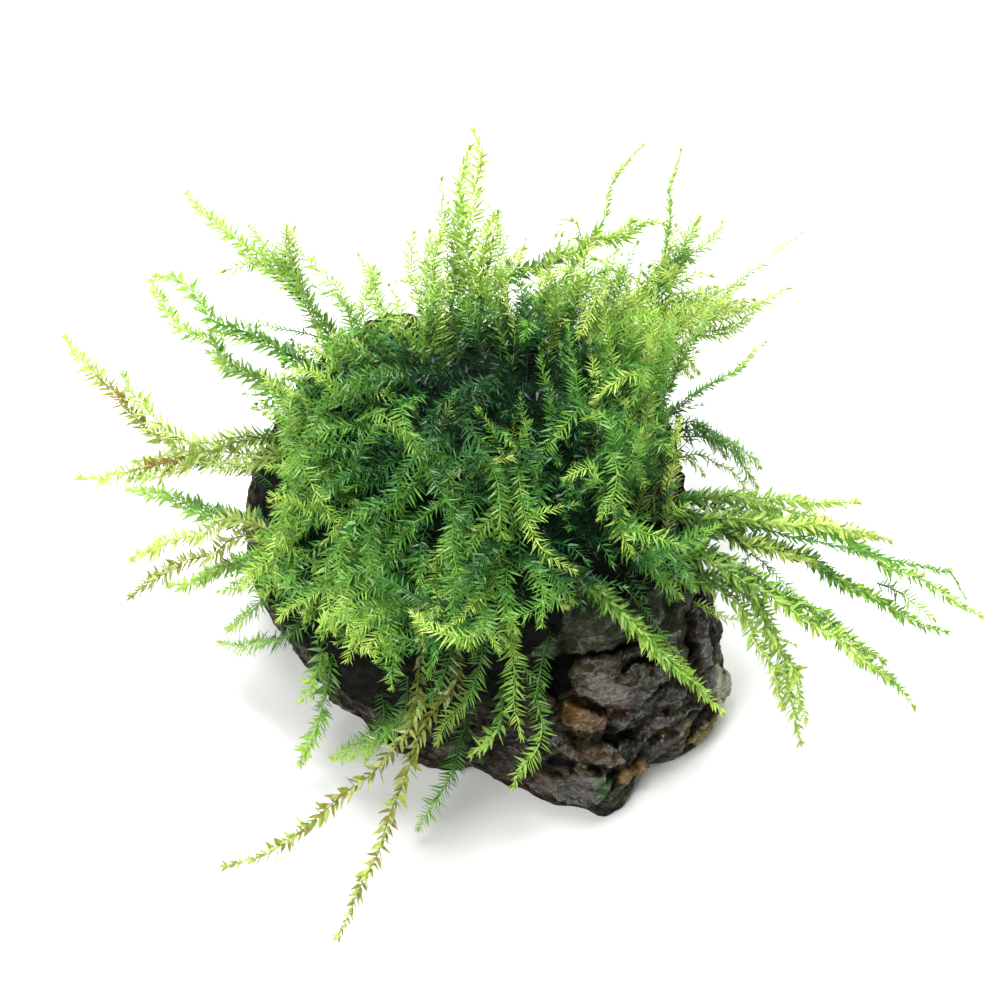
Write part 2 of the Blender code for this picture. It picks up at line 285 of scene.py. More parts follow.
@dataclass(frozen=True)
class LiveMoss:
    """Live aquatic moss, grown under water and still wet: thin, see-through leaves on round green stems.

    A leaf is one layer of cells, so light from behind turns it yellow green, and its wet skin glints. The
    colour depends only on where a leaf sits on its stem (across the map) and on the stem's own tone (up it).
    """

    name: str = "live_moss_wet_leaf"
    tones: tuple[tuple[float, str], ...] = (
        (0.0, "#0C2A1B"), (0.16, "#205A2B"), (0.32, "#488838"), (0.48, "#74AE42"), (0.64, "#A8CF58"),
        (0.78, "#C6DE6C"), (0.86, "#CCDF72"), (0.92, "#8C9A38"), (1.0, "#AE7836"))
    root_shade: float = 0.38            # painted shade and age: how dark the leaves near the root are
    leaf_flecks: float = 0.28           # how much one leaf differs from the next
    see_through: float = 0.32
    backlit: str = "#A9D53A"            # what light turns to on its way through a leaf
    roughness: float = 0.35
    cell_mm: float = 0.16               # real cells are near 0.04 mm, drawn coarser so that they show

    def material(self) -> bpy.types.Material:
        """Builds the material.

        Returns:
            The finished leaf and stem material.
        """
        made = new_material(self.name)
        tree = made.node_tree
        place = add_node(tree, "ShaderNodeUVMap", {"uv_map": BAKE_MAP})
        axes = add_node(tree, "ShaderNodeSeparateXYZ", inputs={0: place.outputs["UV"]})
        tone = add_node(tree, "ShaderNodeValToRGB", {"stops": self.tones}, {"Fac": axes.outputs["Y"]})
        # painted shade: the leaves darken towards the root, partly with age and partly for the shade deep in
        # the mat
        age = add_node(tree, "ShaderNodeMapRange", {"interpolation_type": "SMOOTHSTEP"},
                       {"Value": axes.outputs["X"], "From Min": 0.0, "From Max": 0.7,
                        "To Min": self.root_shade, "To Max": 1.0})
        stretch = add_node(tree, "ShaderNodeVectorMath", {"operation": "MULTIPLY"},
                           {0: place.outputs["UV"], 1: (70.0, 190.0, 1.0)})
        fleck = add_node(tree, "ShaderNodeTexNoise", {"noise_dimensions": "2D"},
                         {"Vector": stretch.outputs[0], "Scale": 1.0, "Detail": 1.0})
        strength = mapped(tree, fleck.outputs["Fac"], 0.3, 0.7, 1 - self.leaf_flecks, 1 + self.leaf_flecks)
        shade = maths(tree, "MULTIPLY", age.outputs[0], strength)
        colour = add_node(tree, "ShaderNodeVectorMath", {"operation": "SCALE"},
                          {0: tone.outputs["Color"], "Scale": shade})
        lit = mixed(tree, 0.35, colour.outputs[0], linear(self.backlit))
        cells = add_node(tree, "ShaderNodeTexCoord")
        grain = add_node(tree, "ShaderNodeTexNoise", inputs={
            "Vector": cells.outputs["Object"], "Scale": 1 / (self.cell_mm * MM), "Detail": 1.0})
        bump = add_node(tree, "ShaderNodeBump", inputs={
            "Strength": 0.25, "Distance": 0.05 * MM, "Height": grain.outputs["Fac"]})
        wet = add_node(tree, "ShaderNodeBsdfPrincipled", inputs={
            "Base Color": colour.outputs[0], "Roughness": self.roughness, "Specular IOR Level": 0.4,
            "Normal": bump.outputs[0]})
        through = add_node(tree, "ShaderNodeBsdfTranslucent", inputs={"Color": lit})
        both = add_node(tree, "ShaderNodeMixShader", inputs={
            "Fac": self.see_through, 1: wet.outputs[0], 2: through.outputs[0]})
        add_node(tree, "ShaderNodeOutputMaterial", inputs={"Surface": both.outputs[0]})
        return made


@dataclass(frozen=True)
class MossMat:
    """Matted old moss: dead stems and silt felted together, and rough, painted nearly black as the shade under
    the live stems.
    """

    name: str = "old_moss_matted_felt"
    # painted shade: both greens are kept near black, for the shade under the live stems
    deep: str = "#040A06"
    lit: str = "#12321A"
    silt: str = "#0E0C07"
    strand_mm: float = 0.5
    clump_mm: float = 4.0

    def material(self) -> bpy.types.Material:
        """Builds the material.

        Returns:
            The finished material of the mat.
        """
        made = new_material(self.name)
        tree = made.node_tree
        place = add_node(tree, "ShaderNodeTexCoord")
        strands = add_node(tree, "ShaderNodeTexNoise", inputs={
            "Vector": place.outputs["Object"], "Scale": 1 / (self.strand_mm * MM), "Detail": 3.0,
             "Distortion": 1.4})
        clumps = add_node(tree, "ShaderNodeTexNoise", inputs={
            "Vector": place.outputs["Object"], "Scale": 1 / (self.clump_mm * MM), "Detail": 2.0})
        green = add_node(tree, "ShaderNodeValToRGB", {"stops": ((0.38, self.deep), (0.66, self.lit))},
                         {"Fac": strands.outputs["Fac"]})
        silted = add_node(tree, "ShaderNodeAttribute", {"attribute_name": "silted"})
        reach = maths(tree, "MULTIPLY_ADD", silted.outputs["Fac"], 0.35, clumps.outputs["Fac"])
        share = mapped(tree, reach, 0.58, 0.72, 0.0, 0.9)
        colour = mixed(tree, share, green.outputs["Color"], linear(self.silt))
        bump = add_node(tree, "ShaderNodeBump", inputs={
            "Strength": 0.8, "Distance": 0.35 * MM, "Height": strands.outputs["Fac"]})
        felt = add_node(tree, "ShaderNodeBsdfPrincipled", inputs={
            "Base Color": colour, "Roughness": 0.85, "Specular IOR Level": 0.08,
            "Normal": bump.outputs[0]})
        add_node(tree, "ShaderNodeOutputMaterial", inputs={"Surface": felt.outputs[0]})
        return made


@dataclass(frozen=True)
class Stain:
    """A patch of another colour on the stone: its middle and radius in mm, its colour and its density."""

    middle: Point
    radius: float
    colour: str
    density: float


@dataclass(frozen=True)
class WetStone:
    """Natural basalt-like rock, broken along its layers and soaked: near black, glinting on the edges that
    stand out.

    Water fills the pores, so the stone is darker than when dry, and a thin film of it lies on the faces that
    stand out, which glint. The cracks are painted near black as shade, and the edges that stand out lighter,
    partly wear and partly painted light.
    """

    name: str = "dark_layered_stone_wet"
    # painted shade in the cracks: hollow is their near-black colour; ridge, on the edges that stand out, is
    # lighter, partly wear and partly painted light
    hollow: str = "#0E0E0A"
    body: str = "#302A18"
    ridge: str = "#565032"
    rust: str = "#412A17"
    algae_film: str = "#2B341B"
    stains: tuple[Stain, ...] = (Stain((-14, 22, 43), 7.0, "#4A4C4D", 0.7),)
    layers_tilt: Point = (0.335, -0.485, 0.0)       # turns the pattern's Z to the layers' normal, in radians
    grit_mm: float = 0.22
    facets: tuple[tuple[float, float, float], ...] = (  # each chipped face's length, thickness and height
        (3.4, 1.5, 0.95), (1.3, 0.65, 0.50), (0.55, 0.3, 0.20))

    def facet(self, tree: bpy.types.NodeTree, place: bpy.types.NodeSocket, length: float,
              thickness: float) -> bpy.types.NodeSocket:
        """Adds a pattern of small flat faces, each leaning its own way, as broken rock has.

        Args:
            tree: the material's tree.
            place: where on the stone, in metres.
            length: how long a face is, in mm.
            thickness: how thick, across the layers.

        Returns:
            The height, in widths of a face.
        """
        level = add_node(tree, "ShaderNodeMapping", inputs={
            "Vector": place, "Rotation": self.layers_tilt,
            "Scale": (1 / (length * MM), 1 / (length * MM), 1 / (thickness * MM))})
        cell = add_node(tree, "ShaderNodeTexVoronoi", inputs={"Vector": level.outputs[0], "Scale": 1.0})
        lean = add_node(tree, "ShaderNodeVectorMath", {"operation": "MULTIPLY_ADD"}, {
            0: cell.outputs["Color"], 1: (2, 2, 2), 2: (-1, -1, -1)})
        off = add_node(tree, "ShaderNodeVectorMath", {"operation": "SUBTRACT"}, {
            0: level.outputs[0], 1: cell.outputs["Position"]})
        height = add_node(tree, "ShaderNodeVectorMath", {"operation": "DOT_PRODUCT"}, {
            0: off.outputs[0], 1: lean.outputs[0]})
        return height.outputs["Value"]

    def material(self) -> bpy.types.Material:
        """Builds the material.

        Returns:
            The finished material of the stone, which reads the mesh's "relief", "tint" and "film" attributes.
        """
        made = new_material(self.name)
        tree = made.node_tree
        here = add_node(tree, "ShaderNodeTexCoord").outputs["Object"]
        relief = add_node(tree, "ShaderNodeAttribute", {"attribute_name": "relief"})
        tint = add_node(tree, "ShaderNodeAttribute", {"attribute_name": "tint"})
        film = add_node(tree, "ShaderNodeAttribute", {"attribute_name": "film"})
        grit = add_node(tree, "ShaderNodeTexNoise", inputs={
            "Vector": here, "Scale": 1 / (self.grit_mm * MM), "Detail": 4.0, "Roughness": 0.7})
        wide = add_node(tree, "ShaderNodeTexNoise", inputs={
            "Vector": here, "Scale": 1 / (8.0 * MM), "Detail": 3.0})
        patch = add_node(tree, "ShaderNodeTexNoise", inputs={
            "Vector": here, "Scale": 1 / (1.6 * MM), "Detail": 5.0, "Roughness": 0.68})
        bend = add_node(tree, "ShaderNodeVectorMath", {"operation": "MULTIPLY_ADD"}, {
            0: patch.outputs["Color"], 1: (0.8 * MM, 0.8 * MM, 0.8 * MM), 2: here})
        rise: object = 0.5              # the facets lift the surface from here
        for length, thickness, height_mm in self.facets:
            rise = maths(tree, "MULTIPLY_ADD",
                         self.facet(tree, bend.outputs[0], length, thickness), height_mm, rise)
        # wear and painted shade: about 0 in the cracks, painted dark as shade, and 1 on the edges that stand
        # out, lighter partly with wear and partly as painted light
        wear_and_painted_shade = maths(tree, "MULTIPLY_ADD", rise, 0.45, relief.outputs["Fac"])
        wear_and_painted_shade = maths(tree, "MULTIPLY_ADD", patch.outputs["Fac"], 1.1, wear_and_painted_shade)
        tone = add_node(tree, "ShaderNodeValToRGB", {"stops": (
            (0.60, self.hollow), (0.85, self.body), (1.0, self.ridge))}, {"Fac": wear_and_painted_shade})
        rusty = mapped(tree, wide.outputs["Fac"], 0.5, 0.64, 0.0, 0.7)
        colour = mixed(tree, rusty, tone.outputs["Color"], linear(self.rust))
        green = mapped(tree, patch.outputs["Fac"], 0.52, 0.7, 0.0, 0.5)
        colour = mixed(tree, green, colour, linear(self.algae_film))
        for stain in self.stains:
            reach = add_node(tree, "ShaderNodeVectorMath", {"operation": "DISTANCE"}, {
                0: here, 1: tuple(v * MM for v in stain.middle)}).outputs["Value"]
            radius = stain.radius * MM
            ragged = maths(tree, "MULTIPLY_ADD", patch.outputs["Fac"], 2.4 * radius, reach)
            share = mapped(tree, ragged, 1.85 * radius, 2.15 * radius, stain.density, 0.0)
            colour = mixed(tree, share, colour, linear(stain.colour))
        uneven = maths(tree, "MULTIPLY_ADD", patch.outputs["Fac"], 1.2, tint.outputs["Alpha"])
        colour = mixed(tree, mapped(tree, uneven, 0.9, 1.3, 0.0, 0.85), colour, tint.outputs["Color"])
        # painted shade: the colour darkens towards the cracks, and is dark all over as wet stone is
        shade = mapped(tree, wear_and_painted_shade, 0.62, 1.2, 0.02, 0.52)
        speck = mapped(tree, grit.outputs["Fac"], 0.35, 0.65, 0.6, 1.4)
        colour = add_node(tree, "ShaderNodeVectorMath", {"operation": "SCALE"}, {
            0: colour, "Scale": maths(tree, "MULTIPLY", shade, speck)})
        water = mapped(tree, maths(tree, "ADD", wear_and_painted_shade, film.outputs["Fac"]), 1.2, 1.75, 0.0, 1.0)
        faces = add_node(tree, "ShaderNodeBump", inputs={"Strength": 1.0, "Distance": MM, "Height": rise})
        small = add_node(tree, "ShaderNodeBump", inputs={
            "Strength": 0.9, "Distance": 0.14 * MM, "Height": grit.outputs["Fac"],
            "Normal": faces.outputs[0]})
        rock = add_node(tree, "ShaderNodeBsdfPrincipled", inputs={
            "Base Color": colour.outputs[0], "Roughness": 0.55, "Specular IOR Level": 0.12,
            "Normal": small.outputs[0], "Coat Weight": water, "Coat Roughness": 0.085, "Coat IOR": 1.7,
            "Coat Normal": faces.outputs[0]})
        add_node(tree, "ShaderNodeOutputMaterial", inputs={"Surface": rock.outputs[0]})
        return made


@dataclass(frozen=True)
class StudioSweep:
    """Matt white studio board, painted: an even pale ground with the faintest unevenness."""

    name: str = "studio_board_matt_white"
    colour: str = "#F4F4F2"

    def material(self) -> bpy.types.Material:
        """Builds the material.

        Returns:
            The finished floor material.
        """
        made = new_material(self.name)
        tree = made.node_tree
        place = add_node(tree, "ShaderNodeTexCoord")
        roller = add_node(tree, "ShaderNodeTexNoise", inputs={
            "Vector": place.outputs["Object"], "Scale": 900.0})
        bump = add_node(tree, "ShaderNodeBump", inputs={
            "Strength": 0.05, "Distance": 0.05 * MM, "Height": roller.outputs["Fac"]})
        board = add_node(tree, "ShaderNodeBsdfPrincipled", inputs={
            "Base Color": linear(self.colour), "Roughness": 0.9, "Specular IOR Level": 0.1,
            "Normal": bump.outputs[0]})
        add_node(tree, "ShaderNodeOutputMaterial", inputs={"Surface": board.outputs[0]})
        return made


# The stone and the mat of old moss


@dataclass(frozen=True)
class Plate:
    """One face, block or crack of the stone's front: its outline in the photograph, and how it stands.

    Attributes:
        height: how far it stands out, in mm, or sinks below 0.
        colour: its colour, near black on the cracks and hollows as painted shade.
        film: how much water lies on it, from 0 to 1.
        grain: how much of the stone's own fine relief it keeps.
        outline: its corners, in pixels of the photograph.
    """

    height: float
    colour: str
    film: float
    grain: float
    outline: tuple[tuple[int, int], ...]

    def inside(self, pixels: np.ndarray) -> np.ndarray:
        """Measures how far inside the outline places are.

        Args:
            pixels: the places, in pixels.

        Returns:
            The distance from the outline, in pixels, below zero outside it.
        """
        corners = np.array(self.outline, float)
        nearest, within = np.full(len(pixels), np.inf), np.zeros(len(pixels), bool)
        for a, b in zip(corners, np.roll(corners, -1, 0)):
            along = np.clip((pixels - a) @ (b - a) / ((b - a) @ (b - a)), 0, 1)
            nearest = np.minimum(nearest, np.linalg.norm(pixels - a - along[:, None] * (b - a), axis=1))
            level = (pixels[:, 1] < a[1]) != (pixels[:, 1] < b[1])
            rise = b[1] - a[1] if b[1] != a[1] else 1.0
            within ^= level & (pixels[:, 0] < a[0] + (b[0] - a[0]) * (pixels[:, 1] - a[1]) / rise)
        return np.where(within, nearest, -nearest)


PLATES: tuple[Plate, ...] = (
    # the upper slab, the wedge under it, and the wet tongue with its reddish underside
    Plate(0.5, "#404B30", 0.05, 0.35, (
        (520, 590), (560, 580), (600, 580), (642, 580), (690, 590), (684, 640), (686, 662), (662, 662),
        (648, 652), (636, 641), (612, 650), (592, 654), (578, 656), (563, 650), (545, 660), (525, 650))),
    Plate(0.9, "#3E381C", 0.1, 0.6, (
        (573, 666), (580, 659), (612, 653), (634, 644), (642, 649), (652, 658), (668, 668), (672, 682),
        (655, 690), (640, 700), (628, 712), (612, 706), (590, 700), (575, 690), (570, 676))),
    Plate(0.4, "#483A1E", 1.0, 0.5, (
        (577, 672), (590, 668), (604, 674), (616, 680), (624, 690), (620, 702), (606, 702), (590, 698),
        (577, 688))),
    # painted shade: the crack under the slab and the slit in the tongue are near black
    Plate(-1.0, "#100F0B", 0.1, 0.5, (
        (576, 657), (600, 651), (612, 649), (628, 641), (641, 639), (645, 647), (633, 645), (612, 654),
        (592, 657))),
    Plate(-1.6, "#0E0E0A", 0.1, 0.5, (
        (618, 669), (630, 659), (645, 652), (654, 657), (647, 662), (634, 664), (622, 672))),
    Plate(-0.5, "#6E3824", 0.5, 0.4, (
        (566, 698), (578, 692), (612, 706), (634, 712), (622, 719), (606, 712), (588, 706), (568, 703))),
    # the hollow at the tongue's left, painted near black as shade, the rust-brown block and the chip beside it
    Plate(-1.3, "#26150E", 0.1, 0.5, (
        (542, 668), (556, 655), (575, 654), (580, 657), (571, 664), (568, 678), (571, 692), (560, 698),
        (545, 690))),
    Plate(1.0, "#7C5518", 0.12, 0.5, (
        (560, 704), (570, 702), (588, 708), (604, 714), (608, 724), (604, 733), (588, 733), (572, 726),
        (562, 716))),
    Plate(0.3, "#3C3A36", 0.5, 0.7, ((608, 717), (620, 720), (636, 724), (630, 730), (618, 728), (609, 725))),
    # painted shade: the gap under the chip is near black
    Plate(-1.2, "#0E0E0A", 0.1, 0.4, (
        (607, 734), (622, 729), (640, 731), (632, 738), (614, 743), (602, 745))),
    # the layers that rise to the right, and the smooth faces past them
    Plate(0.5, "#37322A", 0.3, 0.8, (
        (628, 711), (645, 698), (668, 686), (690, 691), (689, 702), (668, 706), (648, 715), (636, 721))),
    Plate(0.8, "#332C22", 0.3, 0.8, (
        (637, 728), (652, 719), (672, 711), (690, 706), (704, 703), (700, 710), (690, 714), (676, 721),
        (657, 729), (641, 736))),
    Plate(0.3, "#2C2A22", 0.3, 1.0, (
        (622, 742), (641, 738), (660, 731), (652, 744), (636, 755), (624, 758), (619, 750))),
    Plate(0.7, "#33261E", 0.15, 0.2, (
        (640, 752), (660, 738), (682, 724), (684, 740), (681, 752), (665, 763), (650, 769), (638, 768),
        (634, 760))),
    Plate(0.7, "#43372D", 0.15, 0.2, (
        (688, 603), (697, 606), (703, 620), (708, 640), (711, 660), (713, 690), (711, 700), (705, 700),
        (700, 686), (697, 668), (695, 650), (691, 625))),
    # painted shade: the crack beside the smooth face is near black
    Plate(-1.3, "#14130E", 0.1, 0.5, ((685, 622), (691, 629), (696, 648), (692, 662), (686, 652))),
    Plate(0.6, "#FFFBDC", 0.0, 0.6, (
        (712, 662), (719, 665), (730, 674), (730, 690), (724, 703), (716, 708), (713, 698), (713, 680))),
    Plate(0.4, "#A08C50", 0.1, 0.8, ((685, 719), (690, 717), (689, 735), (686, 748), (682, 740))),
    Plate(0.5, "#B8A45C", 0.1, 0.8, (
        (691, 736), (705, 722), (718, 712), (713, 724), (705, 738), (694, 746), (690, 743))),
    # the low blocks, the gaps between them, painted near black as shade, and the foot
    Plate(1.0, "#5C401B", 0.15, 0.7, (
        (586, 749), (600, 742), (616, 750), (621, 761), (610, 768), (596, 766), (586, 758))),
    Plate(0.8, "#443C1F", 0.3, 0.7, ((555, 745), (572, 742), (582, 752), (580, 760), (566, 758), (554, 753))),
    Plate(0.6, "#32332F", 0.6, 0.8, ((546, 737), (556, 730), (568, 736), (571, 741), (556, 744), (546, 747))),
    Plate(-0.9, "#100F0A", 0.1, 0.5, ((582, 763), (598, 769), (618, 770), (606, 775), (590, 771))),
    Plate(-0.9, "#12100B", 0.1, 0.5, (
        (548, 757), (566, 760), (580, 762), (574, 768), (556, 768), (546, 763))),
    Plate(0.8, "#2E2416", 0.45, 0.6, (
        (556, 778), (575, 770), (598, 773), (611, 779), (607, 793), (598, 803), (580, 803), (562, 798),
        (550, 790))),
    Plate(0.7, "#4A2E14", 0.25, 0.6, (
        (524, 774), (540, 768), (555, 772), (556, 788), (542, 792), (526, 785))),
    Plate(0.0, "#2C1812", 0.35, 0.5, (
        (500, 742), (525, 736), (545, 742), (545, 764), (520, 774), (500, 776))),
    Plate(0.8, "#BE9458", 0.0, 0.8, (
        (616, 782), (620, 772), (630, 766), (641, 760), (644, 764), (634, 776), (622, 786))),
    Plate(0.2, "#3B6F1E", 0.05, 0.6, ((598, 777), (611, 776), (612, 785), (605, 794), (598, 792))),
)


@dataclass
class Stone:
    """The stone: its solid's form, its blocks sharpened and split again, and the plates of its front."""

    voxel_mm: float = 0.5
    layers_face: Vector = field(default_factory=lambda: Vector((-0.45, -0.30, 0.85)).normalized())
    blocks: tuple[tuple[float, float, float, float], ...] = (  # length, height, relief, crack depth in mm
        (7.0, 3.4, 0.15, 0.30), (2.9, 1.3, 0.34, 0.20))
    roughness_mm: float = 0.07
    foot_mm: float = 2.5                # the relief grows from nothing over this height, for a flat foot
    edge_px: float = 2.5                # how many pixels a plate's edge takes to rise
    ragged_px: float = 3.5              # how far its outline strays

    def split(self, p: Vector, length: float, height: float, relief: float, crack: float) -> float:
        """Splits the layers into blocks, each set in, set out or tipped a little.

        Args:
            p: the place from the heart of the stone, in mm.
            length: how long the blocks are, in mm.
            height: how thick they are.
            relief: how far they stand out.
            crack: how deep the cracks between them are.

        Returns:
            The height there, in mm.
        """
        across = self.layers_face.cross(Vector((0, 0, 1))).normalized()
        place = Vector((p.dot(across) / length, p.dot(self.layers_face.cross(across)) / length,
                        p.dot(self.layers_face) / height))
        distances, seeds = noise.voronoi(place)
        chance = noise.cell_vector(seeds[0] * 5.7) * 2 - Vector((1, 1, 1))
        groove = max(0.0, 1 - (distances[1] - distances[0]) / 0.14)
        return (0.5 * chance.x + 0.6 * (place - seeds[0]).dot(chance)) * relief - groove * crack

    def relief(self, points: np.ndarray) -> np.ndarray:
        """Works out how far the surface stands out from its solid, its plates left out.

        Args:
            points: places on the solid, in mm.

        Returns:
            The height at each, in mm.
        """
        heights = np.empty(len(points))
        for i, row in enumerate(points):
            p = Vector(row)
            q = p - HEART + noise.noise_vector(p * 0.5) * 0.5
            heights[i] = sum(self.split(q, *sizes) for sizes in self.blocks) + (
                self.roughness_mm * noise.fractal(p * 0.8, 0.8, 2.1, 4))
        return heights

    def plated(self, points: np.ndarray, normals: np.ndarray, heights: np.ndarray) -> tuple[
            np.ndarray, np.ndarray, np.ndarray]:
        """Lays the plates of the front over the relief.

        Args:
            points: places on the solid, in mm.
            normals: which way it faces there.
            heights: how far the relief stands out there, in mm.

        Returns:
            The height at each, its colour with the share of it in the fourth place, and the film of water.
        """
        studio = Studio()
        pixels = studio.pixels(points) + self.ragged_px * np.array([
            (noise.noise_vector(Vector(p) * 0.45) + noise.noise_vector(Vector(p) * 1.3) * 0.6)[:2]
            for p in points])
        view = np.array(studio.eye) / MM - points
        facing = (normals * view).sum(1) / np.linalg.norm(view, axis=1)
        facing = smooth_step(-0.1, 0.15, facing)
        tint, film = np.zeros((len(points), 4)), np.full(len(points), 0.12)
        for plate in PLATES:
            share = facing * smooth_step(-self.edge_px * 0.4, self.edge_px * 0.6, plate.inside(pixels))
            heights = heights * (1 - share * (1 - plate.grain)) + plate.height * share
            tint[:, :3] += (np.array(linear(plate.colour)[:3]) - tint[:, :3]) * (share > 0)[:, None]
            tint[:, 3] = np.maximum(tint[:, 3], share)
            film += (plate.film - film) * share
        return heights, tint, film

    def build(self, finish: WetStone) -> bpy.types.Object:
        """Builds and dresses the stone.

        Args:
            finish: the stone's finish.

        Returns:
            The finished piece.
        """
        mesh = remeshed(merged_copy("stone"), "stone_surface", self.voxel_mm)
        points, normals = coordinates(mesh) / MM, coordinates(mesh, "normal")
        heights, tint, film = self.plated(points, normals, self.relief(points))
        grown = smooth_step(0.2, self.foot_mm, points[:, 2])
        points = points + normals * (heights * grown)[:, None]
        points[:, 2] = np.maximum(points[:, 2], 0.0)
        mesh.vertices.foreach_set("co", (points * MM).astype(np.float32).ravel())
        # the relief darkens the cracks in the stone's material, as painted shade
        for name, kind, key, values in (
                ("relief", "FLOAT", "value", np.clip(0.28 + 0.4 * heights, -0.5, 0.7)),
                ("tint", "FLOAT_COLOR", "color", tint.ravel()), ("film", "FLOAT", "value", film)):
            mesh.attributes.new(name, kind, "POINT").data.foreach_set(key, values.astype(np.float32))
        mesh.polygons.foreach_set("use_smooth", [True] * len(mesh.polygons))
        mesh.materials.clear()
        mesh.materials.append(finish.material())
        piece = new_object("stone_surface", mesh)
        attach(piece, "root")
        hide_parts("stone")
        return piece


@dataclass
class OldMoss:
    """The mat of old moss that the live stems grow out of, sunk a little below its solid's surface."""

    voxel_mm: float = 0.9
    sunk_mm: float = 1.3
    tuft_mm: float = 0.9

    def build(self, finish: MossMat) -> bpy.types.Object:
        """Builds and dresses the mat.

        Args:
            finish: the mat's finish.

        Returns:
            The finished piece.
        """
        mesh = remeshed(merged_copy("moss_cushion"), "moss_mat", self.voxel_mm)
        points, normals = coordinates(mesh) / MM, coordinates(mesh, "normal")
        outward = points - np.array(HEART)
        outer = smooth_step(0.0, 0.5, (normals * outward).sum(1) / np.linalg.norm(outward, axis=1))
        tufts = np.array([noise.fractal(Vector(p) * 0.5, 0.7, 2.2, 3) + 0.5 * noise.noise(Vector(p) * 1.6)
                          for p in points])
        points = points + normals * (outer * (self.tuft_mm * tufts - self.sunk_mm))[:, None]
        mesh.vertices.foreach_set("co", (points * MM).astype(np.float32).ravel())
        way = points - np.array(HEART)
        elevation = np.degrees(np.arctan2(way[:, 2], np.hypot(way[:, 0], way[:, 1])))
        bearing = np.degrees(np.arctan2(points[:, 1] - CROWN.y, points[:, 0] - CROWN.x))
        hem = np.array([Sector.at(b).hem for b in bearing])
        silted = mesh.attributes.new("silted", "FLOAT", "POINT")
        silted.data.foreach_set("value", smooth_step(34.0, 16.0, elevation - hem).astype(np.float32))
        mesh.polygons.foreach_set("use_smooth", [True] * len(mesh.polygons))
        mesh.materials.clear()
        mesh.materials.append(finish.material())
        piece = new_object("moss_mat", mesh)
        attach(piece, "root")
        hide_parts("moss_cushion")
        return piece


# Live moss: the parts of a stem, and where the stems grow


class Part(Enum):
    """The pieces that the live moss is made in, named by where their stems grow."""

    LEFT = "moss_left"
    FRONT = "moss_front"
    RIGHT = "moss_right"
    BACK = "moss_back"
    CROWN = "moss_crown"
    UNDER = "moss_undergrowth"


@dataclass(frozen=True)
class Growth:
    """How a stem is leafed: leaf length, width for that length, spacing of the pairs, angle to the stem."""

    leaf_mm: float
    breadth: float
    pitch_mm: float
    angle_deg: float
    stem_mm: float
    extra: float = 0.3                  # the share of pairs with a third leaf on top


class Habit(Enum):
    """The habits of stem in the photograph."""

    COMB = Growth(2.15, 0.52, 0.54, 60, 0.15, 1.0)
    FULL = Growth(2.35, 0.80, 0.68, 56, 0.18, 1.0)
    TOOTHED = Growth(2.1, 1.0, 0.70, 52, 0.20, 1.0)
    BROAD = Growth(2.15, 1.15, 0.98, 46, 0.20, 0.7)
    CLASPED = Growth(1.55, 0.85, 0.60, 34, 0.17, 1.0)
    WISP = Growth(1.4, 0.75, 0.72, 46, 0.14, 0.3)
    THATCH = Growth(1.9, 0.50, 0.55, 60, 0.14, 0.9)
    SPRIG = Growth(1.7, 0.75, 0.90, 55, 0.14, 0.0)
    NEEDLE = Growth(1.7, 0.48, 0.50, 52, 0.16, 1.0)


class Tone(Enum):
    """A stem's place in the range of greens at its root, its middle and its tip."""

    # partly the stems' own colour and partly painted light: the darkest tones go to stems in the shaded hollow,
    # the palest to stems at the back that light comes through
    DEEP = (0.04, 0.15, 0.28)
    DARK = (0.12, 0.30, 0.52)
    GREEN = (0.24, 0.42, 0.63)
    BRIGHT = (0.32, 0.53, 0.74)
    LIME = (0.44, 0.64, 0.76)
    PALE = (0.52, 0.72, 0.82)
    AMBER = (0.62, 0.99, 0.74)
    OLIVE = (0.92, 0.935, 0.915)
    KHAKI = (0.94, 0.91, 0.72)


@dataclass(frozen=True)
class Measured:
    """A stem followed on the photograph: its piece, habit and tone, and points along it in mm, root first.

    Its places across the view were read off. Their places in space were worked out beforehand, from the
    camera and the solids there, so the whole millimetres below are worked-out numbers. The three stems behind
    the stone don't show, and follow the middles of their solids.
    """

    part: Part
    habit: Habit
    tone: Tone
    path: tuple[Point, ...]


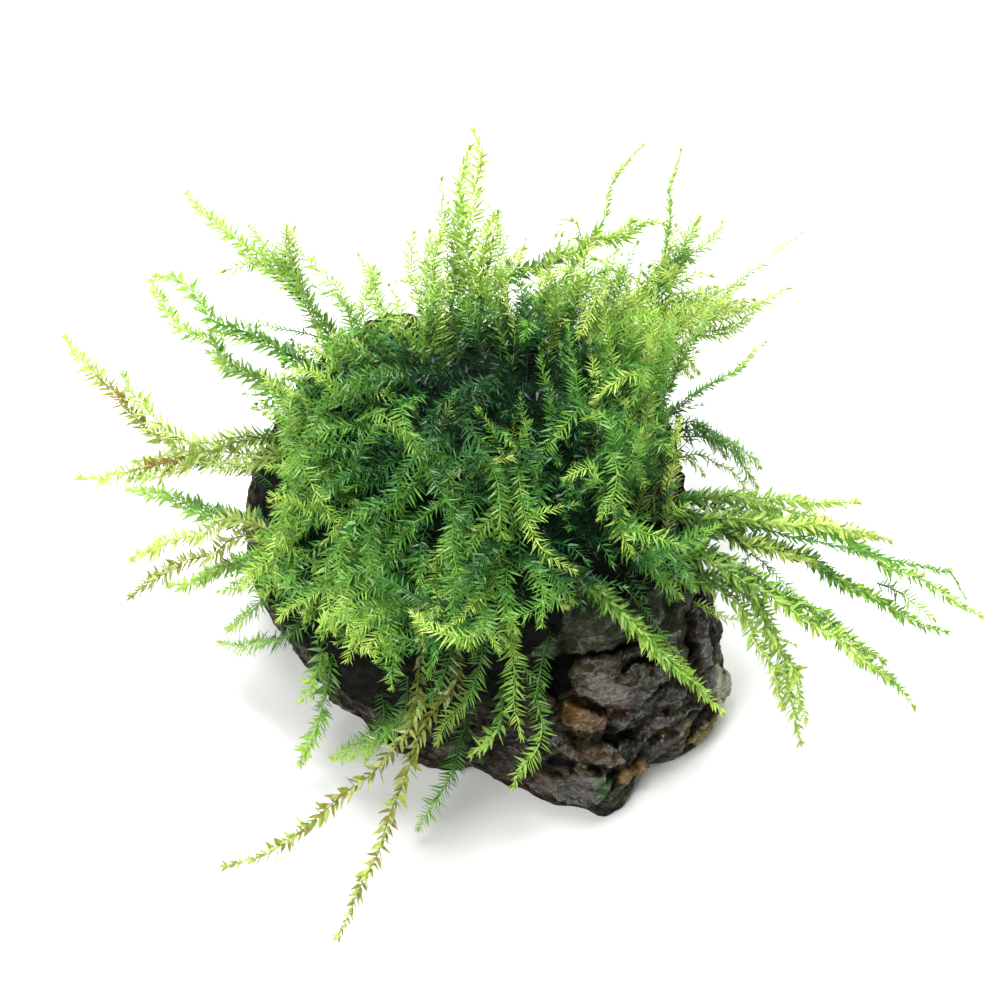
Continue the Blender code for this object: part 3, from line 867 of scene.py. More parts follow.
# each row: the piece, the habit, the tone, and points along the stem in mm, root first
MEASURED = """
LEFT COMB LIME -29 -21 26, -32 -17 27, -34 -18 25, -37 -17 20, -40 -14 14;
LEFT COMB BRIGHT -24 -22 34, -28 -26 29, -34 -21 20, -37 -19 16, -41 -16 13;
LEFT FULL LIME -30 -16 30, -36 -14 31, -41 -13 27, -44 -12 23, -49 -8 17;
LEFT FULL OLIVE -26 -18 39, -32 -16 39, -37 -15 37, -41 -15 33, -47 -13 28, -51 -11 22, -55 -9 16;
LEFT FULL BRIGHT -29 -15 39, -36 -9 35, -41 -6 32, -46 -1 29, -51 4 25, -57 9 20;
LEFT COMB BRIGHT -31 -6 38, -35 -3 39, -40 -1 37, -44 2 35, -50 6 31, -55 9 27;
LEFT FULL AMBER -24 -5 45, -41 -1 40, -45 1 37, -50 2 34, -56 4 30, -60 6 26, -64 8 24;
LEFT FULL AMBER -29 0 43, -36 -1 43, -40 -2 42, -45 -1 41, -49 1 42, -53 5 42, -56 9 42, -59 13 41, -63 19 39,
    -67 27 36;
LEFT FULL LIME -27 6 43, -34 12 42, -38 15 42, -41 18 41, -43 22 41, -48 26 39, -52 33 38, -55 40 36;
LEFT FULL BRIGHT -24 10 44, -30 14 46, -34 17 46, -41 21 46, -44 25 45, -49 32 44, -53 36 41;
LEFT FULL LIME -22 11 45, -24 18 47, -27 22 48, -29 26 49, -33 30 49, -39 37 48, -43 41 47, -49 51 45;
FRONT FULL BRIGHT -24 -25 30, -22 -28 28, -23 -31 24, -24 -32 18, -26 -33 12, -28 -33 6;
FRONT COMB BRIGHT -15 -32 24, -15 -36 20, -19 -35 14, -23 -33 7;
FRONT COMB BRIGHT -11 -34 30, -12 -37 24, -17 -36 15, -18 -35 10;
FRONT BROAD OLIVE -9 -33 36, -10 -42 32, -12 -45 30, -15 -47 27, -18 -49 25, -22 -50 21, -26 -51 16,
    -31 -51 10, -38 -49 3;
FRONT BROAD OLIVE -5 -32 37, -4 -38 35, -7 -41 32, -9 -44 30, -11 -48 25, -13 -51 21, -15 -54 17, -17 -56 13,
    -19 -58 7, -21 -60 3;
FRONT COMB GREEN -4 -32 22, -3 -35 20, -4 -37 17, -5 -40 14, -8 -42 8, -10 -43 4;
FRONT COMB BRIGHT 0 -30 40, -1 -36 34, -2 -37 30, -5 -38 26, -7 -39 21;
FRONT BROAD BRIGHT 3 -32 29, 2 -37 24, 1 -38 21, -2 -38 16;
FRONT COMB BRIGHT 9 -30 35, 7 -35 28, 7 -36 27, 8 -38 22, 7 -40 19, 5 -40 15, 4 -41 12;
FRONT COMB BRIGHT 5 -24 43, 3 -28 41, 3 -32 37, 4 -35 32, 4 -37 28, 5 -39 23;
RIGHT TOOTHED BRIGHT 11 -21 41, 15 -25 39, 18 -26 38, 21 -28 35, 24 -30 32, 27 -31 28, 30 -31 24, 34 -32 19;
RIGHT TOOTHED LIME 24 -21 37, 35 -20 34, 39 -21 31, 41 -23 26, 44 -24 21, 45 -25 15, 48 -28 4;
RIGHT TOOTHED GREEN 18 -19 40, 31 -19 38, 36 -20 36, 41 -20 32, 44 -21 30, 48 -21 26, 52 -21 22, 56 -22 18,
    60 -22 14, 63 -21 9, 66 -22 5;
RIGHT TOOTHED GREEN 25 -17 37, 33 -13 37, 38 -13 34, 43 -12 31, 49 -12 28, 53 -12 24, 58 -12 20, 63 -12 16,
    68 -12 12, 72 -11 9;
RIGHT TOOTHED BRIGHT 25 -13 40, 45 -10 34, 50 -10 33, 55 -10 30, 59 -10 26, 63 -10 23, 68 -10 20, 72 -10 16,
    77 -10 12;
RIGHT CLASPED GREEN 23 -12 42, 64 -16 32, 68 -15 30, 71 -17 26;
RIGHT TOOTHED LIME 27 -8 38, 49 -6 29, 54 -5 27, 58 -4 25, 62 -3 22;
RIGHT WISP LIME 26 -3 40, 31 -1 40, 34 -1 38, 38 0 34, 41 0 29, 44 1 24, 47 3 20;
RIGHT WISP BRIGHT 26 2 43, 29 6 43, 31 8 43, 34 11 42, 38 15 41, 41 21 38, 44 26 36;
BACK WISP BRIGHT 23 7 44, 27 8 44, 29 12 46, 31 15 47, 33 18 48, 35 21 48, 37 24 49, 40 27 50, 43 30 50,
    46 33 50, 49 36 50;
BACK COMB LIME 25 11 38, 28 22 43, 31 23 42, 35 25 40, 39 27 39, 44 34 37;
BACK COMB PALE 21 16 41, 28 23 44, 32 25 43, 37 27 43, 42 30 40, 45 33 39, 48 35 39;
BACK COMB LIME 14 19 44, 31 31 45, 35 33 44;
BACK CLASPED BRIGHT 20 12 45, 24 14 46, 25 19 50, 26 23 52, 27 28 54, 28 32 56, 28 36 58, 29 40 59, 30 44 60;
BACK CLASPED LIME 7 18 45, 9 23 49, 12 26 50, 14 28 52, 16 31 54, 18 34 56, 19 39 57, 22 43 59, 24 45 60;
BACK COMB LIME 9 11 45, 11 22 49, 15 25 49, 18 29 49, 20 33 49;
BACK COMB LIME 3 18 45, 1 25 50, 4 28 52, 5 29 52;
BACK WISP LIME 4 10 46, 0 18 55, 1 20 57, 2 23 59, 2 25 61, 1 27 62, -1 30 63, -4 31 63;
BACK FULL PALE -1 16 44, -3 26 51, -3 30 53, -2 34 56, -2 38 58, -1 42 60, -2 46 62;
BACK FULL LIME -4 12 44, -5 21 48, -5 26 49, -5 31 51, -5 35 52, -4 40 53, -4 45 54, -3 49 56;
BACK COMB LIME -6 9 44, -7 19 49, -8 23 51, -8 28 54, -7 32 55, -7 36 56, -7 39 58;
BACK COMB LIME -9 8 46, -9 20 49, -9 25 50, -9 30 51, -9 34 52;
BACK COMB LIME -11 8 47, -16 21 49, -17 24 49, -17 27 49, -19 31 48, -20 33 48;
BACK COMB LIME -16 13 44, -21 20 47, -23 26 48, -26 29 49, -30 34 49;
LEFT COMB LIME -29 28 47, -33 34 47, -38 42 46;
BACK COMB LIME -29 25 46, -31 29 49, -31 34 53;
LEFT COMB LIME -29 30 46, -34 34 46, -41 33 45;
LEFT WISP GREEN -25 18 45, -30 21 44, -34 22 44, -39 23 43;
LEFT WISP GREEN -28 7 43, -33 11 40, -37 13 38;
LEFT COMB BRIGHT -28 -14 28, -33 -11 22, -38 -8 17, -42 -6 13;
FRONT COMB GREEN -9 -21 45, -10 -27 46, -12 -31 44, -13 -35 43, -15 -36 39;
FRONT COMB GREEN -12 -18 45, -16 -25 46, -18 -28 44, -21 -28 41;
FRONT COMB BRIGHT -1 -26 44, -3 -30 47, -7 -32 45, -9 -35 43;
FRONT WISP GREEN 4 -32 33, 6 -34 31, 8 -34 28;
FRONT WISP BRIGHT 20 -24 37, 23 -26 34, 26 -28 30, 30 -30 24;
FRONT COMB BRIGHT 4 -22 45, 7 -29 46, 9 -30 44, 11 -29 40;
RIGHT WISP LIME 20 -22 34, 25 -20 30, 31 -18 26, 36 -18 22, 39 -17 20, 47 -17 14;
RIGHT COMB LIME 61 -6 15, 66 -7 12, 70 -9 10;
RIGHT WISP LIME 40 -8 25, 43 -9 23, 45 -11 22, 48 -13 20;
BACK FULL LIME 2 31 44, 5 33 45, 8 34 45, 11 36 46, 14 37 45, 18 39 46, 22 41 45, 25 43 46, 28 44 45;
BACK COMB PALE 29 38 36, 31 42 39, 33 45 41, 34 47 42;
BACK COMB LIME 29 36 38, 32 40 41, 35 43 41, 37 44 42, 38 46 43;
BACK COMB PALE 26 27 39, 29 29 42, 34 31 40, 36 32 41, 40 34 41;
BACK WISP LIME 19 26 40, 20 29 44, 21 33 48;
BACK WISP LIME -7 30 42, -10 30 45, -11 30 46, -15 30 45;
BACK WISP LIME -6 28 43, -6 33 51, -6 36 56;
BACK COMB LIME -1 28 45, -1 32 49, 0 35 53;
BACK WISP LIME 0 28 42, 1 31 45, 2 33 48, 3 35 50;
BACK COMB DARK 25 22 43, 25 26 47, 25 29 49;
BACK COMB GREEN 20 6 46, 19 9 51, 19 13 54;
CROWN COMB GREEN 2 9 48, -1 0 51, -5 -7 50, -9 -16 52, -13 -20 50, -19 -21 49, -22 -23 47;
LEFT COMB GREEN -11 -8 48, -19 -14 50, -25 -16 48, -28 -17 46;
LEFT COMB GREEN -15 -2 48, -24 -5 50, -28 -4 49;
LEFT COMB BRIGHT -20 3 49, -17 1 52, -14 -1 53;
FRONT COMB BRIGHT -3 -17 47, -5 -25 49, -7 -28 48;
LEFT COMB GREEN -14 -17 46, -17 -23 47, -18 -26 46, -20 -27 43;
FRONT COMB GREEN -8 -17 48, -10 -22 49, -14 -26 47, -18 -28 44;
CROWN COMB DARK 12 13 46, 11 -1 50, 9 -9 52, 7 -13 51, 7 -15 50;
CROWN COMB DARK 5 -9 47, 5 -16 50, 6 -21 50;
CROWN COMB DARK 10 -9 47, 8 -16 50, 7 -21 50;
RIGHT COMB BRIGHT 21 -8 44, 19 -16 48, 19 -21 47, 20 -24 46;
FRONT COMB GREEN 5 -22 44, 8 -26 46, 10 -28 45, 12 -28 40;
FRONT COMB GREEN 4 -21 45, 3 -29 47, 3 -34 45, 4 -35 43;
FRONT COMB BRIGHT -1 -23 45, -4 -29 47, -7 -32 45, -9 -35 44;
FRONT COMB BRIGHT -13 -23 42, -12 -30 44, -13 -35 42;
CROWN WISP DARK -1 -1 47, 2 -7 52, 4 -11 53;
CROWN WISP DARK -3 -2 47, -1 -8 51, 2 -11 52;
CROWN WISP DARK -5 -4 47, -3 -11 51, -3 -14 52;
CROWN COMB GREEN 0 -12 46, 2 -17 50, 3 -20 51;
CROWN WISP DARK 18 -4 45, 17 -13 48, 16 -19 48;
CROWN COMB GREEN 20 7 46, 19 -2 49, 20 -8 49, 22 -14 49;
FRONT COMB GREEN -10 -30 40, -12 -35 40, -13 -37 37, -13 -37 32;
FRONT COMB GREEN -1 -19 46, -3 -27 48, -5 -31 47, -7 -34 45;
FRONT COMB BRIGHT -3 -31 41, -6 -38 35, -12 -35 20, -19 -39 17;
FRONT COMB GREEN 1 -22 45, 0 -30 47, -1 -34 46, -2 -37 42;
LEFT COMB GREEN -15 -12 46, -20 -18 49, -26 -20 46, -32 -19 40;
LEFT COMB GREEN -13 -5 48, -20 -10 50, -26 -11 49, -31 -8 45;
LEFT COMB GREEN -13 0 48, -16 -2 52, -20 -1 52, -24 3 51;
CROWN COMB DARK -2 4 48, -4 -5 51, -7 -11 52, -9 -16 53;
RIGHT COMB GREEN 16 -16 43, 21 -23 45, 24 -25 42, 28 -22 33;
RIGHT COMB GREEN 15 -11 45, 17 -17 48, 21 -21 46, 24 -24 44;
FRONT COMB BRIGHT -12 -25 41, -15 -30 42, -17 -32 39, -19 -35 36;
BACK COMB BRIGHT 4 21 40, 7 27 42, 9 32 39, 12 38 33, 14 44 25;
BACK COMB GREEN 26 7 34, 30 8 35, 35 11 31, 40 13 23, 44 15 14;
BACK COMB BRIGHT 17 18 36, 22 22 37, 26 26 34, 30 30 28, 34 34 20;
RIGHT NEEDLE DARK 16 -21 40, 13 -5 45, 11 12 49;
RIGHT NEEDLE DARK 14 -19 42, 10 -4 46, 8 12 49;
RIGHT NEEDLE GREEN 18 -21 40, 17 -3 46, 16 13 52;
RIGHT NEEDLE BRIGHT 20 -20 40, 20 -2 46, 21 16 54;
RIGHT NEEDLE GREEN 17 -16 43, 17 0 48, 18 13 55;
RIGHT NEEDLE KHAKI 22 -19 40, 23 -2 46, 24 15 53;
RIGHT NEEDLE LIME 24 -16 42, 24 2 49, 25 17 56;
BACK NEEDLE BRIGHT 24 -11 43, 26 4 49, 28 15 55;
RIGHT NEEDLE DARK 11 -17 44, 10 -7 48, 9 4 50;
RIGHT NEEDLE DARK 10 -23 41, 8 -14 45, 8 -4 46;
BACK NEEDLE BRIGHT 21 -13 43, 19 3 50, 17 15 58;
BACK NEEDLE LIME 23 -5 43, 24 8 49, 24 17 55;
BACK NEEDLE GREEN 19 -9 44, 17 5 50, 14 14 57;
RIGHT NEEDLE KHAKI 26 -18 39, 27 -9 43, 28 0 46;
RIGHT NEEDLE GREEN 22 -23 36, 19 -15 40, 17 -6 42;
RIGHT NEEDLE DARK 13 -24 36, 12 -14 40, 11 -2 42;
RIGHT NEEDLE GREEN 19 -24 35, 16 -19 38, 13 -9 39;
BACK NEEDLE LIME 21 -2 44, 22 11 50, 23 22 56;
BACK NEEDLE DARK 15 -10 45, 13 1 50, 12 11 54;
BACK NEEDLE LIME 17 -1 45, 17 10 51, 18 20 56;
RIGHT NEEDLE GREEN 8 -18 45, 6 -9 48, 5 1 50;
RIGHT NEEDLE KHAKI 24 -22 37, 25 -14 40, 26 -6 43;
"""


def measured_rows(table: str) -> tuple[Measured, ...]:
    """Reads the table of measured stems.

    Args:
        table: its text, with a semicolon after each row and commas between the points.

    Returns:
        The stems, in the table's order.
    """
    rows = []
    for row in table.strip().rstrip(";").split(";"):
        part, habit, tone, places = row.split(maxsplit=3)
        path = tuple(tuple(float(v) for v in place.split()) for place in places.split(","))
        rows.append(Measured(Part[part], Habit[habit], Tone[tone], path))
    return tuple(rows)


@dataclass
class Stem:
    """One live stem: points along it in mm, root first, with how it is leafed and coloured."""

    line: np.ndarray
    growth: Growth
    tones: tuple[float, float, float]
    face: np.ndarray                    # the way that its leaves face, for each point


def curved_line(path: tuple[Point, ...], step_mm: float, seed: int) -> np.ndarray:
    """Draws a smooth line through points, with the slight wander that a real stem has.

    Args:
        path: the points, in mm.
        step_mm: how far apart the line's own points are.
        seed: which wander it gets.

    Returns:
        The line's points, in mm.
    """
    knots = np.array(path, float)
    ends = np.vstack([2 * knots[0] - knots[1], knots, 2 * knots[-1] - knots[-2]])
    t = np.linspace(0, 1, 9)[:-1, None]
    parts = []
    for p0, p1, p2, p3 in zip(ends, ends[1:], ends[2:], ends[3:]):
        parts.append(0.5 * (2 * p1 + (p2 - p0) * t + (2 * p0 - 5 * p1 + 4 * p2 - p3) * t ** 2
                            + (3 * p1 - p0 - 3 * p2 + p3) * t ** 3))
    line = np.vstack(parts + [knots[-1:]])
    line = even_line(line, step_mm)
    shift = Vector((seed * 3.7, seed * 1.3, 0.0))
    wander = np.array([noise.noise_vector(Vector(p) * 0.16 + shift) for p in line])
    share = np.sin(np.linspace(0, math.pi, len(line)))[:, None]
    return line + 0.7 * wander * share


def even_line(line: np.ndarray, step_mm: float) -> np.ndarray:
    """Spaces a line's points evenly.

    Args:
        line: the points, in mm.
        step_mm: the spacing wanted.

    Returns:
        The same line with even points.
    """
    run = np.concatenate([[0.0], np.cumsum(np.linalg.norm(np.diff(line, axis=0), axis=1))])
    places = np.linspace(0, run[-1], max(3, round(run[-1] / step_mm) + 1))
    return np.stack([np.interp(places, run, line[:, i]) for i in range(3)], axis=1)


@dataclass
class Ground:
    """What stems grow over: the solids of the stone and the cushion, in mm."""

    surface: BVHTree
    cushion: tuple[np.ndarray, np.ndarray, np.ndarray]

    @classmethod
    def from_solids(cls) -> "Ground":
        """Reads both solids.

        Returns:
            The ground.
        """
        points, faces = [], []
        triangles = None
        for node in ("stone", "moss_cushion"):
            mesh = merged_copy(node)
            bmesh.ops.triangulate(mesh, faces=mesh.faces)
            first = len(points)
            points += [v.co / MM for v in mesh.verts]
            faces += [[first + v.index for v in f.verts] for f in mesh.faces]
            triangles = np.array([[v.co / MM for v in f.verts] for f in mesh.faces])
            mesh.free()
        cross = np.cross(triangles[:, 1] - triangles[:, 0], triangles[:, 2] - triangles[:, 0])
        areas = np.linalg.norm(cross, axis=1)
        return cls(BVHTree.FromPolygons(points, faces),
                   (triangles, cross / areas[:, None], areas / areas.sum()))

    def above(self, place: Vector) -> tuple[float, Vector, Vector]:
        """Measures how far a place stands off the surface.

        Args:
            place: the place, in mm.

        Returns:
            The distance (below 0 inside), the nearest surface point and the way out of the surface there.
        """
        spot, normal, _, away = self.surface.find_nearest(place)
        outward = (place - spot).dot(normal) >= 0
        return (away if outward else -away), spot, normal

    def roots(self, spacing_mm: float, tries: int, rng: np.random.Generator) -> list[tuple[Vector, Vector]]:
        """Scatters roots over the open side of the cushion, none closer than the spacing.

        Args:
            spacing_mm: the least distance between two roots.
            tries: how many places are tried.
            rng: the source of chance.

        Returns:
            Each root's place and the way out of the surface there.
        """
        triangles, normals, shares = self.cushion
        chosen = rng.choice(len(triangles), size=tries, p=shares)
        weights = rng.dirichlet((1, 1, 1), size=tries)
        kept: list[tuple[Vector, Vector]] = []
        taken = np.empty((0, 3))
        for pick, weight in zip(chosen, weights):
            place, normal = weight @ triangles[pick], normals[pick]
            if (place - np.array(HEART)) @ normal <= 0:
                continue
            if len(taken) and np.linalg.norm(taken - place, axis=1).min() < spacing_mm:
                continue
            if self.surface.ray_cast(Vector(place + 0.3 * normal), Vector(normal), 7.0)[0] is not None:
                continue
            taken = np.vstack([taken, place])
            kept.append((Vector(place), Vector(normal)))
        return kept


@dataclass(frozen=True)
class Sector:
    """How thatch grows at one bearing: stem length, how far tips stand off the surface, colours and hem."""

    bearing: float
    length_mm: float
    lift_mm: float
    tones: tuple[float, float, float]
    hem: float                          # the lowest elevation from the heart that stems reach, in degrees

    @staticmethod
    def at(bearing: float) -> "Sector":
        """Reads the sectors at any bearing.

        Args:
            bearing: the bearing in degrees.

        Returns:
            A sector between the two rows round it.
        """
        rows = [[s.bearing, s.length_mm, s.lift_mm, *s.tones, s.hem] for s in SECTORS]
        table = np.array([[rows[-1][0] - 360, *rows[-1][1:]], *rows, [rows[0][0] + 360, *rows[0][1:]]])
        values = [float(np.interp(bearing % 360, table[:, 0], column)) for column in table.T]
        return Sector(values[0], values[1], values[2], tuple(values[3:6]), values[6])


# partly the moss's own colour and partly painted light: the tones are lighter at the back, where light comes
# through the stems
SECTORS: tuple[Sector, ...] = (
    Sector(0, 22, 12, (0.44, 0.68, 0.84), 15),
    Sector(25, 22, 14, (0.48, 0.72, 0.84), 16),
    Sector(50, 24, 14, (0.48, 0.72, 0.84), 20),
    Sector(75, 24, 15, (0.48, 0.72, 0.84), 30),
    Sector(105, 22, 14, (0.46, 0.70, 0.82), 44),
    Sector(135, 22, 8, (0.38, 0.62, 0.78), 36),
    Sector(160, 26, 5, (0.32, 0.58, 0.78), 20),
    Sector(185, 34, 5, (0.31, 0.64, 0.86), 14),
    Sector(210, 40, 5, (0.29, 0.61, 0.84), 8),
    Sector(238, 40, 5, (0.22, 0.49, 0.74), -2),
    Sector(256, 36, 5, (0.18, 0.43, 0.68), 0),
    Sector(272, 28, 4, (0.18, 0.43, 0.67), 8),
    Sector(285, 25, 4, (0.20, 0.44, 0.68), 20),
    Sector(302, 22, 6, (0.18, 0.40, 0.62), 28),
    Sector(320, 22, 9, (0.22, 0.44, 0.66), 22),
    Sector(342, 22, 11, (0.32, 0.54, 0.74), 16))


@dataclass
class Thatch:
    """Stems that grow over the cushion between the measured ones, from the crown outward and down."""

    ground: Ground
    step_mm: float = 1.2
    clear_mm: float = 0.9               # no stem comes nearer to the surface than this
    bows_above_mm: float = 57.0         # above this height a stem bows back down
    mass: tuple[tuple[float, float], ...] = (       # the mass of moss, in pixels of the photograph's frame
        (268, 400), (284, 440), (282, 515), (252, 545), (248, 575), (266, 594), (300, 606), (335, 628),
        (380, 648), (430, 655), (480, 650), (526, 640), (540, 622), (556, 604), (600, 600), (640, 594),
        (700, 588), (712, 560), (700, 520), (680, 480), (682, 400), (690, 340), (728, 300), (716, 240),
        (640, 226), (560, 240), (500, 270), (440, 300), (420, 330), (360, 334), (300, 348))

    def inside(self, spot: tuple[float, float], margin: float) -> bool:
        """Tells whether a spot is inside the mass of moss as the photograph shows it.

        Args:
            spot: across and down, in pixels.
            margin: how far past the outline still counts, in pixels.

        Returns:
            True inside.
        """
        middle = Vector((480, 450))
        way = Vector(spot) - middle
        x, y = middle + way * max(0.0, 1 - margin / max(way.length, 1.0))
        crossed = False
        for (x0, y0), (x1, y1) in zip(self.mass, self.mass[1:] + self.mass[:1]):
            if (y0 > y) != (y1 > y) and x < (x1 - x0) * (y - y0) / (y1 - y0) + x0:
                crossed = not crossed
        return crossed

    def way(self, root: Vector, normal: Vector, lift_mm: float, rng: np.random.Generator) -> Vector:
        """Chooses the way a stem sets out.

        Args:
            root: where it starts, in mm.
            normal: the way out of the surface there.
            lift_mm: how far off the surface it is to end.
            rng: the source of chance.

        Returns:
            The way, one unit long.
        """
        radial = root - CROWN
        radial.z = 0
        near_crown = math.exp(-(radial.length / 9.0) ** 2)
        radial = radial.normalized() if radial.length > 0.5 else Vector((1, 0, 0))
        along = (radial - normal * radial.dot(normal)).normalized()
        turn = math.radians(rng.normal(0, 13 + 60 * near_crown))
        along = Matrix.Rotation(turn, 3, normal) @ along
        upright = smooth_step(5.0, 15.0, root.x) * smooth_step(-26.0, -12.0, root.y)
        along = along.lerp(Vector((0.15, 0.75, 0.65)), 0.8 * upright)
        up = min(1.0, lift_mm / 14.0)
        return (along * (0.95 - 0.3 * up) + normal * rng.uniform(0.15, 0.5)
                + Vector((0, 0, 0.8 * up))).normalized()

    def grow(self, root: Vector, normal: Vector, way: Vector, length: float, lift: float,
             low_mm: float, seed: int) -> np.ndarray:
        """Grows one stem that lies over the surface without going into it.

        Args:
            root: where it starts, in mm.
            normal: the way out of the surface there.
            way: the way it sets out.
            length: how long it gets, in mm.
            lift: how far off the surface its tip runs.
            low_mm: how far off the surface it runs near its root.
            seed: which wander it gets.

        Returns:
            The stem's points, in mm.
        """
        place = root - normal * 1.2
        points = [np.array(place)]
        heading = way.copy()
        shift = Vector((seed * 2.1, seed * 0.7, seed * 0.3))
        droop = 0.055 * max(0.0, 1 - lift / 10)
        for i in range(1, max(4, round(length / self.step_mm)) + 1):
            share = i * self.step_mm / length
            gap, spot, out = self.ground.above(place)
            gap -= low_mm + (lift - low_mm) * share
            push = min(0.55, -gap * 0.22) if gap < 0 else -min(0.22, gap * 0.07)
            sag = droop * share + 0.05 * max(0.0, place.z - self.bows_above_mm)
            heading += out * push + Vector((0, 0, -sag)) + noise.noise_vector(place * 0.14 + shift) * 0.13
            heading.normalize()
            place = place + heading * self.step_mm
            gap, spot, out = self.ground.above(place)
            if i > 2 and gap < self.clear_mm:
                place = spot + out * self.clear_mm
            place.z = max(place.z, 1.4)
            flat = place - HEART
            elevation = math.degrees(math.atan2(flat.z, math.hypot(flat.x, flat.y)))
            hem = Sector.at(math.degrees(math.atan2(flat.y, flat.x))).hem
            if i > 4 and elevation < hem + 9 * noise.noise(root * 0.35) and gap < 7:
                break
            spot_px = Studio().pixels(np.array((place + out * 1.2,)))[0]
            if i > 4 and not self.inside(spot_px, 10 + 30 * noise.noise(root * 0.3)):
                break
            points.append(np.array(place))
        line = np.array(points)
        line[1:-1] = (line[:-2] + 2 * line[1:-1] + line[2:]) / 4
        return even_line(line, self.step_mm)


def part_of(root: Vector) -> Part:
    """Tells which piece a stem belongs to.

    Args:
        root: where it starts, in mm.

    Returns:
        The piece.
    """
    away = root - CROWN
    bearing = math.degrees(math.atan2(away.y, away.x)) % 360
    if math.hypot(away.x, away.y) < 13:
        return Part.CROWN
    if 15 <= bearing < 150:
        return Part.BACK
    if 150 <= bearing < 222:
        return Part.LEFT
    return Part.FRONT if bearing < 302 else Part.RIGHT


@dataclass(frozen=True)
class Layer:
    """One layer of thatch: its stems' habit, spacing, length and lift against the sectors', and its colours.

    Where other stems rise, and in the shaded hollow, `thinned` is how much it is thinned, from 0 to 1.
    """

    habit: Habit
    thinned: float
    spacing_mm: float
    tries: int
    seed: int
    length_share: float
    lift_share: float
    low_mm: float
    tone_shift: float
    tone_spread: float

    def stems(self, ground: Ground) -> dict[Part, list[Stem]]:
        """Grows the layer.

        Args:
            ground: what it grows over.

        Returns:
            The stems of each part of the cushion.
        """
        rng = np.random.default_rng(self.seed)
        thatch = Thatch(ground)
        grown: dict[Part, list[Stem]] = {part: [] for part in Part}
        for number, (root, normal) in enumerate(ground.roots(self.spacing_mm, self.tries, rng)):
            if not thatch.inside(Studio().pixels(np.array((root,)))[0], -24 + 10 * noise.noise(root * 0.3)):
                continue
            away = root - CROWN
            upright = smooth_step(3.0, 10.0, root.x) * smooth_step(-28.0, -22.0, root.y) * (1 - smooth_step(
                8.0, 14.0, root.y))
            middle = math.exp(-(math.hypot(root.x - SHADE.x, root.y - SHADE.y) / 11.0) ** 2)
            if rng.random() < self.thinned * max(0.55 * upright, 0.35 * middle):
                continue
            sector = Sector.at(math.degrees(math.atan2(away.y, away.x)))
            length = sector.length_mm * self.length_share * rng.uniform(0.7, 1.2)
            lift = max(self.low_mm,
                       sector.lift_mm * self.lift_share * rng.uniform(0.6, 1.3) * (1 - 0.5 * middle))
            way = thatch.way(root, normal, lift, rng)
            line = thatch.grow(root, normal, way, length, lift, self.low_mm, number)
            # painted shade: stems near the shaded hollow take the deep tones, and stems under the upright ones
            # are a little darker
            mix = (1 - middle) * np.array(sector.tones) + middle * np.array(Tone.DEEP.value)
            shift = self.tone_shift - 0.04 * upright + rng.normal(0, self.tone_spread)
            tones = tuple(np.clip(mix + shift, 0.0, 0.9).tolist())
            face = np.tile(np.array(normal + TOWARDS_LIGHT * 0.6), (len(line), 1))
            grown[part_of(root)].append(Stem(line, self.habit.value, tones, face))
        return grown


THATCH = Layer(Habit.THATCH, thinned=1.0, spacing_mm=3.2, tries=6000, seed=5, length_share=1.0,
               lift_share=1.0, low_mm=1.8, tone_shift=0.0, tone_spread=0.08)
# painted shade: the undergrowth's tones are shifted darker, for the shade under the thatch
UNDERGROWTH = Layer(Habit.SPRIG, thinned=0.0, spacing_mm=2.2, tries=9000, seed=9, length_share=0.36,
                    lift_share=0.4, low_mm=0.9, tone_shift=-0.28, tone_spread=0.06)


